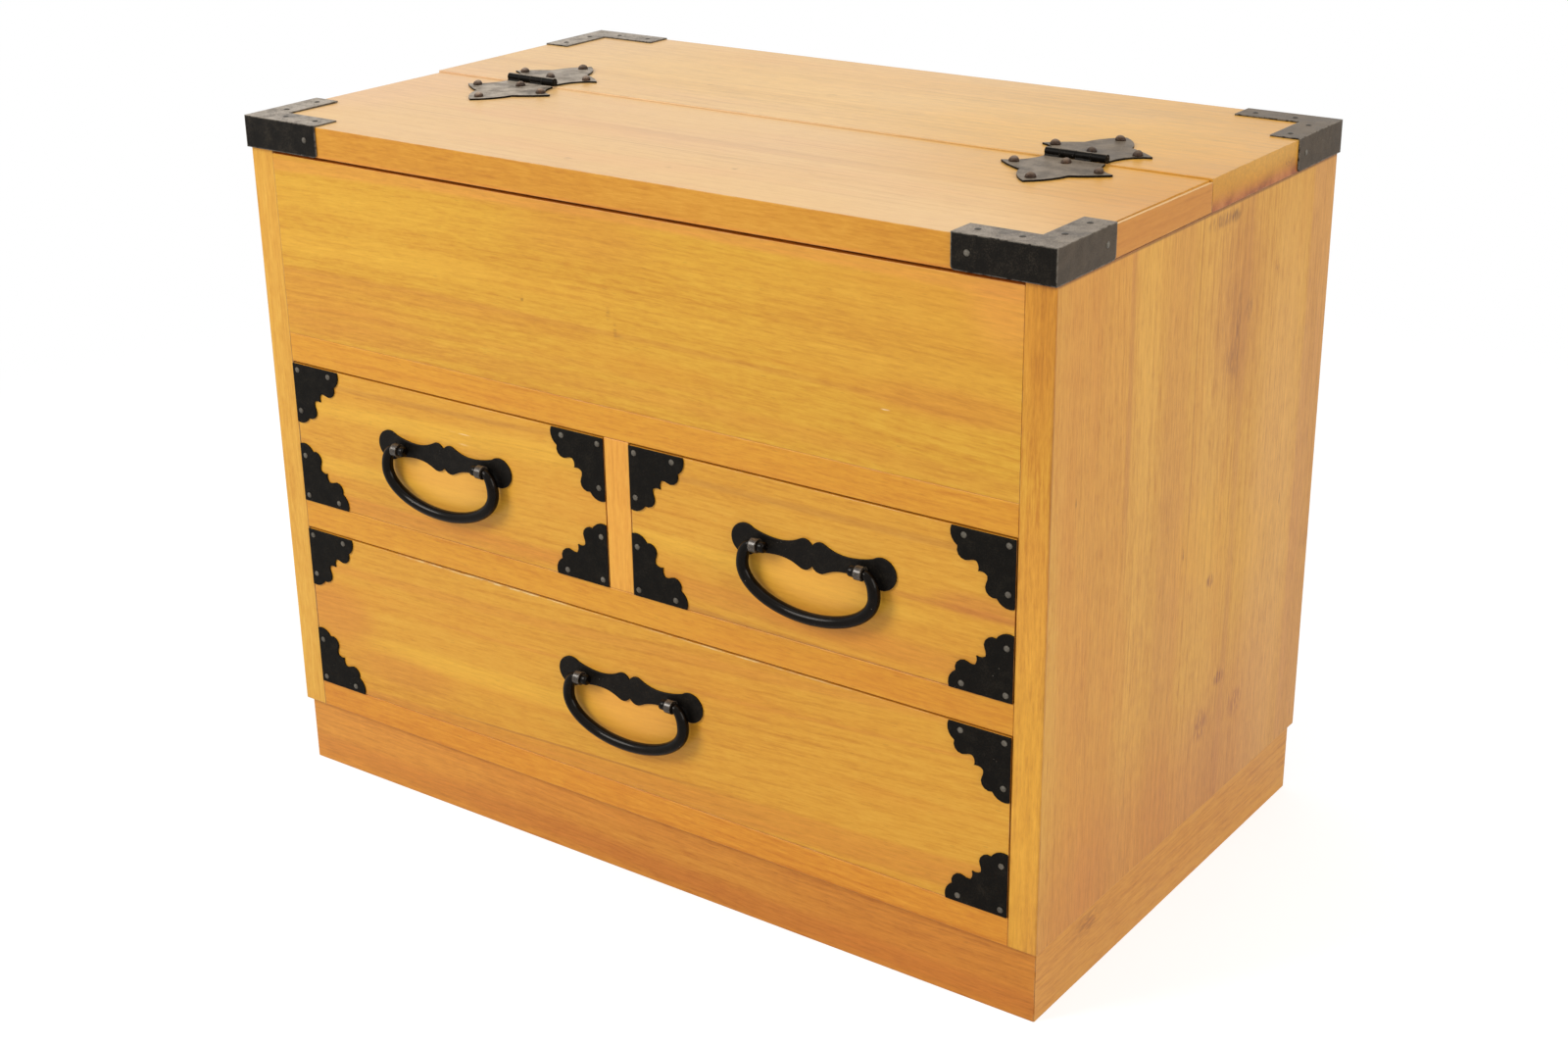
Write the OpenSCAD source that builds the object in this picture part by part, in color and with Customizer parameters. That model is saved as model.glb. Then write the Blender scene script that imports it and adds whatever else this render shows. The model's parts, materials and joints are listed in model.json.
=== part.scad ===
// Small two-tier tansu chest: a lift-up lid over an open compartment, two small drawers
// side by side and one wide drawer, on a plinth, with black iron fittings.
// X runs across the front, Y from the front to the back, Z up from the floor.

/* [Carcass] */
// Width over the side boards
chest_w = 600; // [480:5:900]
// Depth of the side boards
chest_d = 357; // [300:1:450]
// Thickness of the side boards
board_t = 19; // [15:0.5:24]
// Thickness of the back panel
back_t = 8; // [5:0.5:10]
// Width of the rabbet that holds the back panel in each side board
rabbet_w = 9; // [5:0.5:11]
// Thickness of the shelf boards behind the rails
shelf_t = 12; // [9:0.5:15]
// Depth of the grooves that hold the shelf boards in the side boards
housing_d = 5; // [3:0.5:8]
// Depth of the front rails from front to back
rail_d = 40; // [30:1:70]
// Thickness of the upright between the small drawers
divider_t = 19; // [15:0.5:24]
// Thickness of the fixed panel in front of the top compartment
front_panel_t = 15; // [10:0.5:18]

/* [Heights of the front] */
// Height of the bottom rail
bottom_rail_h = 19; // [16:0.5:25]
// Height of the opening for the wide drawer
wide_opening_h = 118; // [105:1:160]
// Height of the rail between the wide drawer and the small drawers
mid_rail_h = 20; // [16:0.5:25]
// Height of the openings for the small drawers
small_opening_h = 100; // [95:1:140]
// Height of the rail above the small drawers
upper_rail_h = 20; // [16:0.5:25]
// Height from the upper rail to the top of the side boards
compartment_h = 123.7; // [60:0.1:200]
// Gap between the fixed front panel and the underside of the lid
panel_gap = 2.2; // [1:0.1:4]

/* [Plinth] */
// Height of the plinth
plinth_h = 48; // [30:1:70]
// Thickness of the plinth boards
plinth_t = 18; // [12:0.5:22]
// How far the plinth stands in from each side
plinth_inset_side = 2.1; // [1:0.1:8]
// How far the plinth stands in from the front
plinth_inset_front = 4; // [1:0.5:10]
// How far the plinth stands in from the back
plinth_inset_back = 3.6; // [1:0.1:6]

/* [Lid] */
// Thickness of the lid
lid_t = 20; // [16:0.5:26]
// Overhang of the lid at the front
lid_over_front = 1.8; // [0:0.1:6]
// Overhang of the lid at the back
lid_over_back = 1; // [0:0.1:6]
// Gap between the flap and the fixed half of the lid
joint_gap = 0.5; // [0.4:0.1:1.2]
// Gap between the closed flap and the side boards
flap_gap = 0.3; // [0.2:0.1:1]
// How far the top of the flap falls from its front strip to the hinges
flap_fall = 1; // [0.5:0.1:2]
// Thickness of the lipping on each end of the flap
lipping_w = 2.4; // [1.5:0.1:4]
// How far a lipping's top lies under the flap's top at the front strip
lipping_step_front = 0.4; // [0.1:0.1:1]
// How far a lipping's top lies under the flap's top at the hinges
lipping_step_back = 1.1; // [0.1:0.1:2]

/* [Lid corner brackets] */
// Length of each leg of a bracket, over its outside
bracket_leg = 64; // [45:1:80]
// Width of the legs on top of the lid
bracket_w = 20; // [14:0.5:28]
// How far the side plates reach down from the top of the lid
bracket_drop = 19.7; // [16:0.1:19.9]
// Thickness of the bracket sheet
bracket_t = 1; // [0.8:0.1:2]
// Radius of the lower corners of the side plates
bracket_corner_r = 2.5; // [1:0.5:6]
// Distance of the inner nail of a leg from the corner
bracket_nail_near = 26; // [22:1:30]
// Distance of the outer nail of a leg from the corner
bracket_nail_far = 53; // [36:1:58]

/* [Hinges] */
// Distance of each hinge's middle from the end of the lid
hinge_inset = 88; // [60:1:200]
// Length of the barrel
barrel_len = 41; // [30:1:60]
// Radius of the barrel
barrel_r = 2.6; // [2.4:0.1:3.5]
// Gap between the barrel and the top of the lid
barrel_lift = 0.3; // [0.3:0.1:0.8]
// Number of knuckles on a barrel
knuckles = 4; // [4:2:6]
// Gap between two knuckles
knuckle_gap = 0.3; // [0.2:0.1:0.5]
// Radius of the hinge pin
pin_r = 1.2; // [1:0.1:1.4]
// Running clearance of the pin in its knuckles, on the radius
pin_play = 0.06; // [0.04:0.01:0.09]
// Gap between a leaf's edge and the knuckles of the other leaf
leaf_gap = 0.2; // [0.1:0.05:0.6]
// Thickness of the leaves
leaf_t = 1.2; // [0.8:0.1:2]
// Reach of a leaf's middle point from the pin
leaf_reach = 63; // [55:1:80]
// Half of the width across a leaf's side points
leaf_wing_half = 37; // [32:1:50]
// Distance of the side points from the pin
leaf_wing_reach = 24.5; // [21:0.5:28]
// Half of the width across a leaf's two notches
leaf_notch_half = 16; // [12:1:20]
// Distance of the notches from the pin
leaf_notch_reach = 39; // [35:1:44]
// Distance of the nails in the side points from the leaf's middle line
wing_nail_x = 28; // [25:0.5:30]
// Distance of the nails in the side points from the pin
wing_nail_reach = 24; // [22:0.5:26]
// Distance of the nail in the middle point from the pin
tip_nail_reach = 54; // [48:0.5:56]
// Distance of the front leaf's nail beside the barrel from the pin
front_nail_reach = 12.5; // [10:0.5:18]
// Distance of the rear leaf's nail beside the barrel from the pin
rear_nail_reach = 18.5; // [10:0.5:24]

/* [Nails] */
// Radius of the domed nail heads on the hinges
dome_r = 3.6; // [2.5:0.1:4]
// Height of the domed nail heads
dome_h = 3.4; // [2:0.1:3.5]
// Radius of the flat nail heads
tack_r = 2; // [1.5:0.1:2.5]
// Height of the flat nail heads
tack_h = 0.6; // [0.3:0.1:1]
// Radius of the nail shanks
shank_r = 0.9; // [0.6:0.1:1.2]
// Length of a nail under its head
shank_len = 9; // [6:0.5:12]
// Clearance of a nail in its hole, on the radius
nail_play = 0.05; // [0.02:0.01:0.1]

/* [Drawers] */
// Gap at each side of a drawer
drawer_side_gap = 0.8; // [0.4:0.1:1.5]
// Gap above a drawer
drawer_top_gap = 1.2; // [0.6:0.1:2]
// Running gap under a drawer
drawer_seat_gap = 0.3; // [0.2:0.1:0.5]
// Gap between a closed drawer and the back panel
drawer_stop_gap = 0.5; // [0.3:0.1:2]
// Thickness of the drawer fronts
drawer_front_t = 18; // [14:0.5:22]
// Thickness of the drawer sides
drawer_side_t = 10; // [8:0.5:14]
// Thickness of the drawer backs
drawer_back_t = 9; // [7:0.5:14]
// Thickness of the drawer bottoms
drawer_bottom_t = 6; // [4:0.5:9]
// Depth of the lap that takes the sides and the bottom in the drawer front
drawer_lap = 10; // [6:0.5:12]

/* [Drawer corner fittings] */
// Length of the two straight edges of a corner fitting
corner_size = 42; // [30:1:44]
// Thickness of the corner fittings
corner_t = 1; // [0.8:0.1:2]
// Distance of a corner fitting's nails from its straight edges
corner_nail_in = 4.1; // [3:0.1:5]
// Distance of the two outer nails along the straight edges
corner_nail_out = 33; // [20:0.5:35]

/* [Handles] */
// Width of the handle plate
handle_w = 116; // [112:0.5:130]
// Radius of the plate's round ends
lobe_r = 10; // [9:0.1:12]
// Half of the plate's height at its necks
neck_half = 4.9; // [4:0.1:7]
// Distance of the necks from the plate's middle
neck_x = 24; // [20:1:30]
// Half of the plate's height at the four middle peaks
peak_half = 9.2; // [8:0.1:11]
// Distance of the shoulders of the peaks from the plate's middle
peak_x = 9; // [7:0.5:12]
// Half of the plate's height in its middle notches
notch_half = 6.2; // [5:0.1:7]
// Thickness of the handle plate
handle_t = 1.2; // [0.8:0.1:2]
// Height of a small drawer's handle above the middle of its opening
handle_rise_small = 8; // [-2:1:12]
// Height of the wide drawer's handle above the middle of its opening
handle_rise_wide = 12.4; // [-4:0.1:16]
// Distance of the wide drawer's handle to the right of the middle
handle_shift_wide = 3.3; // [-10:0.1:10]
// Distance of the eyes from the plate's middle
eye_x = 37; // [35:0.25:39]
// Gap between an eye's ring and the handle plate
eye_gap = 0.6; // [0.2:0.1:4]
// Width of an eye
eye_w = 4.6; // [3:0.1:5]
// Outer radius of an eye
eye_r = 4.4; // [4:0.1:5]
// Radius of the eye's shank
eye_shank_r = 1.9; // [1.5:0.1:2.2]
// Length of each clinched leg behind the drawer front
clinch_len = 14; // [10:1:20]
// Height of the clinched legs
clinch_h = 3; // [2:0.5:4]
// Thickness of the clinched legs
clinch_t = 1.2; // [0.8:0.1:2]
// Distance of the end of an eye's shank from the bore for the bail
eye_floor = 1; // [0.6:0.1:1.8]
// Radius of the bail's pivot pins
bail_pin_r = 2.3; // [2:0.1:2.6]
// Running clearance of the bail in its eyes, on the radius
bail_play = 0.1; // [0.05:0.01:0.1]
// Gap between an eye and the bail on each side of it
eye_side_gap = 0.4; // [0.2:0.1:0.8]
// Radius of the knobs that end the bail
knob_r = 3.4; // [3:0.1:4]
// Length of the knobs
knob_len = 4.8; // [4:0.1:6]
// Half of the bail's width, to the middle of the rod
bail_half = 46.6; // [44:0.1:52]
// Drop of the bail from its pivot to the middle of the rod
bail_drop = 37.4; // [30:0.2:42]
// Drop of the bail's shoulders from its pivot
shoulder_drop = 13; // [10:0.5:16]
// Radius of the rod beside the eyes
rod_end_r = 2.8; // [2.4:0.1:3.2]
// Radius of the rod at its thickest
rod_r = 3.8; // [3:0.1:4.4]
// How square the bail's lower curve is, where 2 is an ellipse
bail_squareness = 2; // [2:0.1:3]

/* [Hidden] */
$fn = 48;

// Spare length of a cut past the face that it opens
cut = 1;

// Distance of a bail's pivot from the drawer front
pivot_out = handle_t + eye_gap + eye_r;

// The front of the carcass; the middle of the whole depth, from the eyes or the bails to the
// nails of the rear brackets, is at Y 0
front_y = (pivot_out + max(eye_r, rod_r) - chest_d - lid_over_back - bracket_t - tack_h) / 2;

// Heights from the floor
wide_z = plinth_h + bottom_rail_h;
mid_rail_z = wide_z + wide_opening_h;
small_z = mid_rail_z + mid_rail_h;
upper_rail_z = small_z + small_opening_h;
floor_z = upper_rail_z + upper_rail_h;
side_top = floor_z + compartment_h;
lid_top = side_top + lid_t;

// Depths measured from the front of the carcass
back_front = chest_d - back_t;
lid_front = -lid_over_front;
lid_back = chest_d + lid_over_back;
lid_mid = (lid_front + lid_back) / 2;
flap_back = lid_mid - joint_gap / 2;
fall_start = lid_front + bracket_w;
drawer_end = back_front - drawer_stop_gap;
lap_y = drawer_front_t - drawer_lap;

// Half widths
inner_half = chest_w / 2 - board_t;
lid_half = chest_w / 2;
flap_half = lid_half - lipping_w;
plinth_half = chest_w / 2 - plinth_inset_side;

// Hinges
hinge_x = lid_half - hinge_inset;
axis_z = lid_top + barrel_lift + barrel_r;
plate_start = barrel_r + leaf_gap;
flap_slope = flap_fall / (flap_back - fall_start);
front_leaf_z = lid_top - flap_slope * (lid_mid - leaf_reach - fall_start);

// Each drawer is its left, right, bottom and top edge, and the X and the height of its handle
function drawer_of(x0, x1, z0, opening_h, rise, shift = 0) = [
    x0 + drawer_side_gap,
    x1 - drawer_side_gap,
    z0 + drawer_seat_gap,
    z0 + opening_h - drawer_top_gap,
    (x0 + x1) / 2 + shift,
    z0 + opening_h / 2 + rise
];
drawer_left = drawer_of(-inner_half, -divider_t / 2, small_z, small_opening_h, handle_rise_small);
drawer_right = drawer_of(divider_t / 2, inner_half, small_z, small_opening_h, handle_rise_small);
drawer_wide = drawer_of(-inner_half, inner_half, wide_z, wide_opening_h, handle_rise_wide,
                        handle_shift_wide);

// Colours of the varnished wood, the bare wood, the iron and the nails
varnished = [0.87, 0.62, 0.30];
bare_wood = [0.86, 0.74, 0.54];
black_iron = [0.09, 0.09, 0.09];
grey_iron = [0.25, 0.24, 0.24];
nail_brown = [0.36, 0.30, 0.26];
worn_iron = [0.50, 0.47, 0.44];

// A point turned round the origin
function turned(p, a) = [p.x * cos(a) - p.y * sin(a), p.x * sin(a) + p.y * cos(a)];

// An arc from a to b, without b, that bulges by s to the right of the way from a to b
function arc(a, b, s, n = 5) =
    let (
        chord = norm(b - a),
        r = (chord * chord / 4 + s * s) / (2 * s),
        centre = (a + b) / 2 + turned(b - a, -90) / chord * (s - r),
        sweep = 4 * atan(2 * s / chord)
    )
    [for (i = [0 : n - 1]) centre + turned(a - centre, sweep * i / n)];

// The same outline reversed and mirrored: across the X axis, the Y axis or the diagonal
function flipped_y(pts) = [for (i = [len(pts) - 1 : -1 : 0]) [pts[i].x, -pts[i].y]];
function flipped_x(pts) = [for (i = [len(pts) - 1 : -1 : 0]) [-pts[i].x, pts[i].y]];
function swapped(pts) = [for (i = [len(pts) - 1 : -1 : 0]) [pts[i].y, pts[i].x]];

// A board between two X, two Y and two Z values; Y is measured from the front of the carcass
module board(x, y, z) {
    translate([x[0], front_y + y[0], z[0]])
        cube([x[1] - x[0], y[1] - y[0], z[1] - z[0]]);
}

// Places its children on the left or the right, where left is the mirror image
module on_side(side) {
    mirror([side < 0 ? 1 : 0, 0, 0]) children();
}

// A round nail: a domed head over Z 0 and its shank below
module nail(r, h) {
    cap_r = (r * r + h * h) / (2 * h);
    slant = norm([r, h]);
    head = arc([r, 0], [0, h], cap_r - sqrt(cap_r * cap_r - slant * slant / 4), 4);
    rotate_extrude()
        polygon(concat([[0, -shank_len], [shank_r, -shank_len], [shank_r, 0]], head, [[0, h]]));
}

// The hole for a nail's shank, from above Z 0 to below the nail's end
module nail_hole() {
    translate([0, 0, -shank_len - cut]) cylinder(r = shank_r + nail_play, h = shank_len + 2 * cut);
}

// A side board with its rabbet for the back panel and its grooves for the three shelf boards
module side_board(side) {
    color(varnished) on_side(side)
        difference() {
            board([inner_half, chest_w / 2], [0, chest_d], [plinth_h, side_top]);
            board([inner_half - cut, inner_half + rabbet_w],
                  [back_front, chest_d + cut], [plinth_h - cut, side_top + cut]);
            for (top = [wide_z, small_z, floor_z])
                board([inner_half - cut, inner_half + housing_d],
                      [rail_d, back_front + cut], [top - shelf_t, top]);
        }
}

module back_panel() {
    half = inner_half + rabbet_w;
    color(bare_wood) board([-half, half], [back_front, chest_d], [plinth_h, side_top]);
}

// A front rail between the side boards
module rail(z, h) {
    color(varnished) board([-inner_half, inner_half], [0, rail_d], [z, z + h]);
}

// A shelf board behind a rail, level with the rail's top and let into the side boards
module shelf(top) {
    half = inner_half + housing_d;
    color(bare_wood) board([-half, half], [rail_d, back_front], [top - shelf_t, top]);
}

// The upright between the small drawers, notched round the upper rail
module drawer_divider() {
    half = divider_t / 2;
    color(varnished) union() {
        board([-half, half], [0, back_front], [small_z, upper_rail_z]);
        board([-half, half], [rail_d, back_front], [upper_rail_z - cut, floor_z - shelf_t]);
    }
}

module front_panel() {
    color(varnished)
        board([-inner_half, inner_half], [0, front_panel_t], [floor_z, side_top - panel_gap]);
}

// The plinth's outer corners in plan, and the same corners one board thickness further in
plinth_outer_y = [front_y + plinth_inset_front, front_y + chest_d - plinth_inset_back];
plinth_inner_half = plinth_half - plinth_t;
plinth_inner_y = [plinth_outer_y[0] + plinth_t, plinth_outer_y[1] - plinth_t];

// A plinth board across the front (end 0) or the back (end 1), mitred at both ends
module plinth_cross(end) {
    color(varnished) linear_extrude(plinth_h)
        polygon([[-plinth_half, plinth_outer_y[end]], [plinth_half, plinth_outer_y[end]],
                 [plinth_inner_half, plinth_inner_y[end]],
                 [-plinth_inner_half, plinth_inner_y[end]]]);
}

// A plinth board along one side, mitred at both ends
module plinth_side(side) {
    color(varnished) on_side(side) linear_extrude(plinth_h)
        polygon([[plinth_half, plinth_outer_y[0]], [plinth_half, plinth_outer_y[1]],
                 [plinth_inner_half, plinth_inner_y[1]], [plinth_inner_half, plinth_inner_y[0]]]);
}

// Places its children at one corner of the lid, with X and Y running inwards along the lid
module at_lid_corner(side, back) {
    translate([side * lid_half, front_y + (back ? lid_back : lid_front), lid_top])
        mirror([side > 0 ? 1 : 0, 0, 0]) mirror([0, back ? 1 : 0, 0])
            children();
}

// The nail places of one bracket: four on top, and one on each side plate
module at_bracket_nails() {
    for (along = [bracket_nail_near, bracket_nail_far]) {
        translate([along, bracket_w / 2, bracket_t]) children();
        translate([bracket_w / 2, along, bracket_t]) children();
    }
    side_z = (bracket_t - bracket_drop) / 2;
    translate([bracket_nail_far, -bracket_t, side_z]) rotate([90, 0, 0]) children();
    translate([-bracket_t, bracket_nail_far, side_z]) rotate([0, -90, 0]) children();
}

// One side plate of a bracket, in the X-Z plane, with its lower outer corner rounded
module bracket_side_plate() {
    end = bracket_leg - bracket_t;
    low = -bracket_drop;
    r = bracket_corner_r;
    corner = arc([end - r, low], [end, low + r], r * (1 - cos(45)));
    rotate([90, 0, 0]) linear_extrude(bracket_t)
        polygon(concat([[-bracket_t, bracket_t], [-bracket_t, low]], corner,
                       [[end, low + r], [end, bracket_t]]));
}

// A three-faced corner bracket of the lid, bent from one sheet
module bracket(side, back) {
    end = bracket_leg - bracket_t;
    inner = bracket_w - bracket_t;
    color(black_iron) at_lid_corner(side, back)
        difference() {
            union() {
                linear_extrude(bracket_t)
                    polygon([[-bracket_t, -bracket_t], [end, -bracket_t], [end, inner],
                             [inner, inner], [inner, end], [-bracket_t, end]]);
                bracket_side_plate();
                mirror([1, -1, 0]) bracket_side_plate();
            }
            at_bracket_nails() nail_hole();
        }
}

module bracket_nails(back) {
    color(grey_iron)
        for (side = [-1, 1]) at_lid_corner(side, back) at_bracket_nails() nail(tack_r, tack_h);
}

// The nail places of one hinge leaf as [x, distance from the pin]
function leaf_nails(back) = [
    [-wing_nail_x, wing_nail_reach],
    [wing_nail_x, wing_nail_reach],
    [0, tip_nail_reach],
    [0, back ? rear_nail_reach : front_nail_reach]
];

// Places its children at the nails of both leaves of one half of the lid, on the leaves' tops
module at_hinge_nails(back) {
    way = back ? 1 : -1;
    z = (back ? lid_top : front_leaf_z) + leaf_t;
    for (x = [-hinge_x, hinge_x])
        for (p = leaf_nails(back))
            translate([x + p.x, front_y + lid_mid + way * p.y, z]) children();
}

module hinge_nails(back) {
    color(nail_brown) at_hinge_nails(back) nail(dome_r, dome_h);
}

// The outline of a leaf: three points, hollowed beside the barrel and swollen beside each
// notch, X across and Y away from the pin
function leaf_outline() =
    let (
        neck = [barrel_len / 2, plate_start],
        wing = [leaf_wing_half, leaf_wing_reach],
        notch = [leaf_notch_half, leaf_notch_reach],
        tip = [0, leaf_reach],
        neck_hollow = -4.2,
        wing_swell = 1,
        tip_swell = 2.6,
        half = concat(arc(neck, wing, neck_hollow), arc(wing, notch, wing_swell),
                      arc(notch, tip, tip_swell), [tip])
    )
    concat(half, [for (p = flipped_x(half)) if (p.x < 0) p]);

// A cross-section through a knuckle and the short bend that joins it to its leaf, with the pin
// at the origin and the leaf towards positive X
module knuckle_profile(leaf_z) {
    low = leaf_z - axis_z;
    bend_top = -30;
    circle(r = barrel_r);
    polygon([[joint_gap / 2, low], [plate_start, low], [plate_start, low + leaf_t],
             barrel_r * [cos(bend_top), sin(bend_top)], [0, 0], [0, -barrel_r]]);
}

// One leaf with its knuckles, on one half of the lid; the leaves' knuckles take turns
module hinge_leaf(side, back) {
    leaf_z = back ? lid_top : front_leaf_z;
    pitch = barrel_len / knuckles;
    color(grey_iron)
        difference() {
            translate([side * hinge_x, front_y + lid_mid, 0]) mirror([0, back ? 0 : 1, 0])
                union() {
                    translate([0, 0, leaf_z]) linear_extrude(leaf_t) polygon(leaf_outline());
                    for (i = [(back ? 1 : 0) : 2 : knuckles - 1])
                        translate([-barrel_len / 2 + i * pitch + knuckle_gap / 2, 0, axis_z])
                            rotate([90, 0, 90]) linear_extrude(pitch - knuckle_gap)
                                knuckle_profile(leaf_z);
                }
            translate([side * hinge_x - barrel_len, front_y + lid_mid, axis_z])
                rotate([0, 90, 0]) cylinder(r = pin_r + pin_play, h = 2 * barrel_len);
            at_hinge_nails(back) nail_hole();
        }
}

module hinge_pins() {
    color(grey_iron)
        for (side = [-1, 1])
            translate([side * hinge_x - barrel_len / 2, front_y + lid_mid, axis_z])
                rotate([0, 90, 0]) cylinder(r = pin_r, h = barrel_len);
}

// The fixed rear half of the lid
module lid_rear() {
    color(varnished)
        difference() {
            board([-lid_half, lid_half], [lid_mid + joint_gap / 2, lid_back], [side_top, lid_top]);
            at_hinge_nails(true) nail_hole();
            for (side = [-1, 1]) at_lid_corner(side, true) at_bracket_nails() nail_hole();
        }
}

// A slice of the flap between two X values, level at its front strip and falling from there
// to the hinges; its top lies under the lid's top by step_front and then up to step_back
module flap_slice(x, step_front, step_back) {
    low = side_top + flap_gap;
    top = lid_top - step_front;
    translate([x[0], front_y, 0]) rotate([90, 0, 90]) linear_extrude(x[1] - x[0])
        polygon([[lid_front, low], [flap_back, low], [flap_back, lid_top - flap_fall - step_back],
                 [fall_start, top], [lid_front, top]]);
}

// The lift-up front half of the lid
module lid_flap() {
    color(varnished)
        difference() {
            flap_slice([-flap_half, flap_half], 0, 0);
            for (side = [-1, 1]) at_lid_corner(side, false) at_bracket_nails() nail_hole();
            at_hinge_nails(false) nail_hole();
        }
}

// The long-grain lippings on the two ends of the flap
module flap_lippings() {
    color(varnished)
        for (side = [-1, 1])
            difference() {
                on_side(side)
                    flap_slice([flap_half, lid_half], lipping_step_front, lipping_step_back);
                at_lid_corner(side, false) at_bracket_nails() nail_hole();
            }
}

// Places its children on a drawer's front face at one corner, with X and Y running inwards
// along the face and Z out of it
module at_drawer_corners(d) {
    for (right = [0, 1])
        for (up = [0, 1])
            translate([d[right], front_y, d[2 + up]]) rotate([90, 0, 0])
                mirror([right, 0, 0]) mirror([0, up, 0])
                    children();
}

// The nail places of one corner fitting
module at_corner_nails() {
    near = corner_nail_in;
    far = corner_nail_out;
    for (p = [[near, near], [far, near], [near, far]]) translate([p.x, p.y, corner_t]) children();
}

// The outline of a corner fitting: two straight edges, and two lobes on each side of a nib
// that points along the diagonal; drawn for straight edges of drawn_size
function corner_outline() =
    let (
        drawn_size = 42,
        tip = [41.2, 0],
        cusp = [37, 11.3],
        saddle = [29.2, 18.2],
        foot = [24.9, 17.6],
        nib = [23.6, 23.6],
        outer_swell = 2.2,
        inner_swell = 3.6,
        saddle_dip = -0.4,
        nib_hollow = -1,
        half = concat(arc(tip, cusp, outer_swell), arc(cusp, saddle, inner_swell),
                      arc(saddle, foot, saddle_dip, 3), arc(foot, nib, nib_hollow))
    )
    (corner_size / drawn_size) * concat([[0, 0]], half, [nib], swapped(half));

module drawer_corners(d) {
    color(black_iron) at_drawer_corners(d)
        difference() {
            linear_extrude(corner_t) polygon(corner_outline());
            at_corner_nails() nail_hole();
        }
}

module drawer_corner_nails(d) {
    color(worn_iron) at_drawer_corners(d) at_corner_nails() nail(tack_r, tack_h);
}

// Places its children at the middle of a drawer's handle, X to the right, Y up and Z outwards
module at_handle(d) {
    translate([d[4], front_y, d[5]]) rotate([90, 0, 0]) children();
}

// The hole for the two eye shanks through the plate and the drawer front
module eye_holes() {
    for (x = [-eye_x, eye_x])
        translate([x, 0, -drawer_front_t - cut])
            cylinder(r = eye_shank_r + bail_play, h = drawer_front_t + handle_t + 2 * cut);
}

// The outline of a handle plate: a round lobe at each end, a neck, and a pair of peaks on
// each side of the middle notches
function handle_outline() =
    let (
        lobe_x = handle_w / 2 - lobe_r,
        lobe_from = 128,
        lobe_steps = 10,
        shoulder_fall = 0.4,
        notch = [0, notch_half],
        peak = [peak_x, peak_half - shoulder_fall],
        neck = [neck_x, neck_half],
        round_end = [for (i = [0 : lobe_steps - 1])
            let (a = lobe_from * (1 - i / lobe_steps))
            [lobe_x, 0] + lobe_r * [cos(a), sin(a)]],
        peak_bulge = -2.1,
        flank_bulge = 1,
        neck_bulge = 0.7,
        crest = concat(arc(notch, peak, peak_bulge), arc(peak, neck, flank_bulge),
                       arc(neck, round_end[0], neck_bulge)),
        upper = concat(crest, round_end),
        right = concat(upper, [[lobe_x + lobe_r, 0]], flipped_y(upper))
    )
    concat(right, [for (p = flipped_x(right)) if (p.x < 0) p]);

module handle_plate(d) {
    color(black_iron) at_handle(d)
        difference() {
            linear_extrude(handle_t) polygon(handle_outline());
            eye_holes();
        }
}

// The two eyes of a handle: a ring for the bail, a shank through the drawer front, and its
// two legs clinched flat behind it
module drawer_eyes(d) {
    shank_h = drawer_front_t + clinch_t + pivot_out - bail_pin_r - bail_play - eye_floor;
    color(worn_iron) at_handle(d)
        for (x = [-eye_x, eye_x])
            translate([x, 0, 0])
                difference() {
                    union() {
                        translate([-eye_w / 2, 0, pivot_out]) rotate([0, 90, 0])
                            cylinder(r = eye_r, h = eye_w);
                        translate([0, 0, -drawer_front_t - clinch_t])
                            cylinder(r = eye_shank_r, h = shank_h);
                        translate([-clinch_len, -clinch_h / 2, -drawer_front_t - clinch_t])
                            cube([2 * clinch_len, clinch_h, clinch_t]);
                    }
                    translate([-eye_w, 0, pivot_out]) rotate([0, 90, 0])
                        cylinder(r = bail_pin_r + bail_play, h = 2 * eye_w);
                }
}

// The middle line of the bail from its right eye round to its left eye as [x, y, rod radius]
bail_start_x = eye_x + eye_w / 2 + eye_side_gap;
function bail_shoulder(a) = [
    bail_start_x + (bail_half - bail_start_x) * sin(a),
    -shoulder_drop * (1 - cos(a)),
    rod_end_r + (rod_r - rod_end_r) * sin(a)
];
function bail_bow(a) = [
    bail_half * sign(cos(a)) * pow(abs(cos(a)), 2 / bail_squareness),
    -shoulder_drop - (bail_drop - shoulder_drop) * pow(sin(a), 2 / bail_squareness),
    rod_r
];
shoulder_steps = 7;
bow_steps = 28;
rod_sides = 16;
function bail_line() =
    let (shoulder = [for (i = [0 : shoulder_steps - 1]) bail_shoulder(90 * i / shoulder_steps)])
    concat(
        shoulder,
        [for (i = [0 : bow_steps]) bail_bow(180 * i / bow_steps)],
        [for (i = [shoulder_steps - 1 : -1 : 0]) [-shoulder[i].x, shoulder[i].y, shoulder[i].z]]
    );

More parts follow.
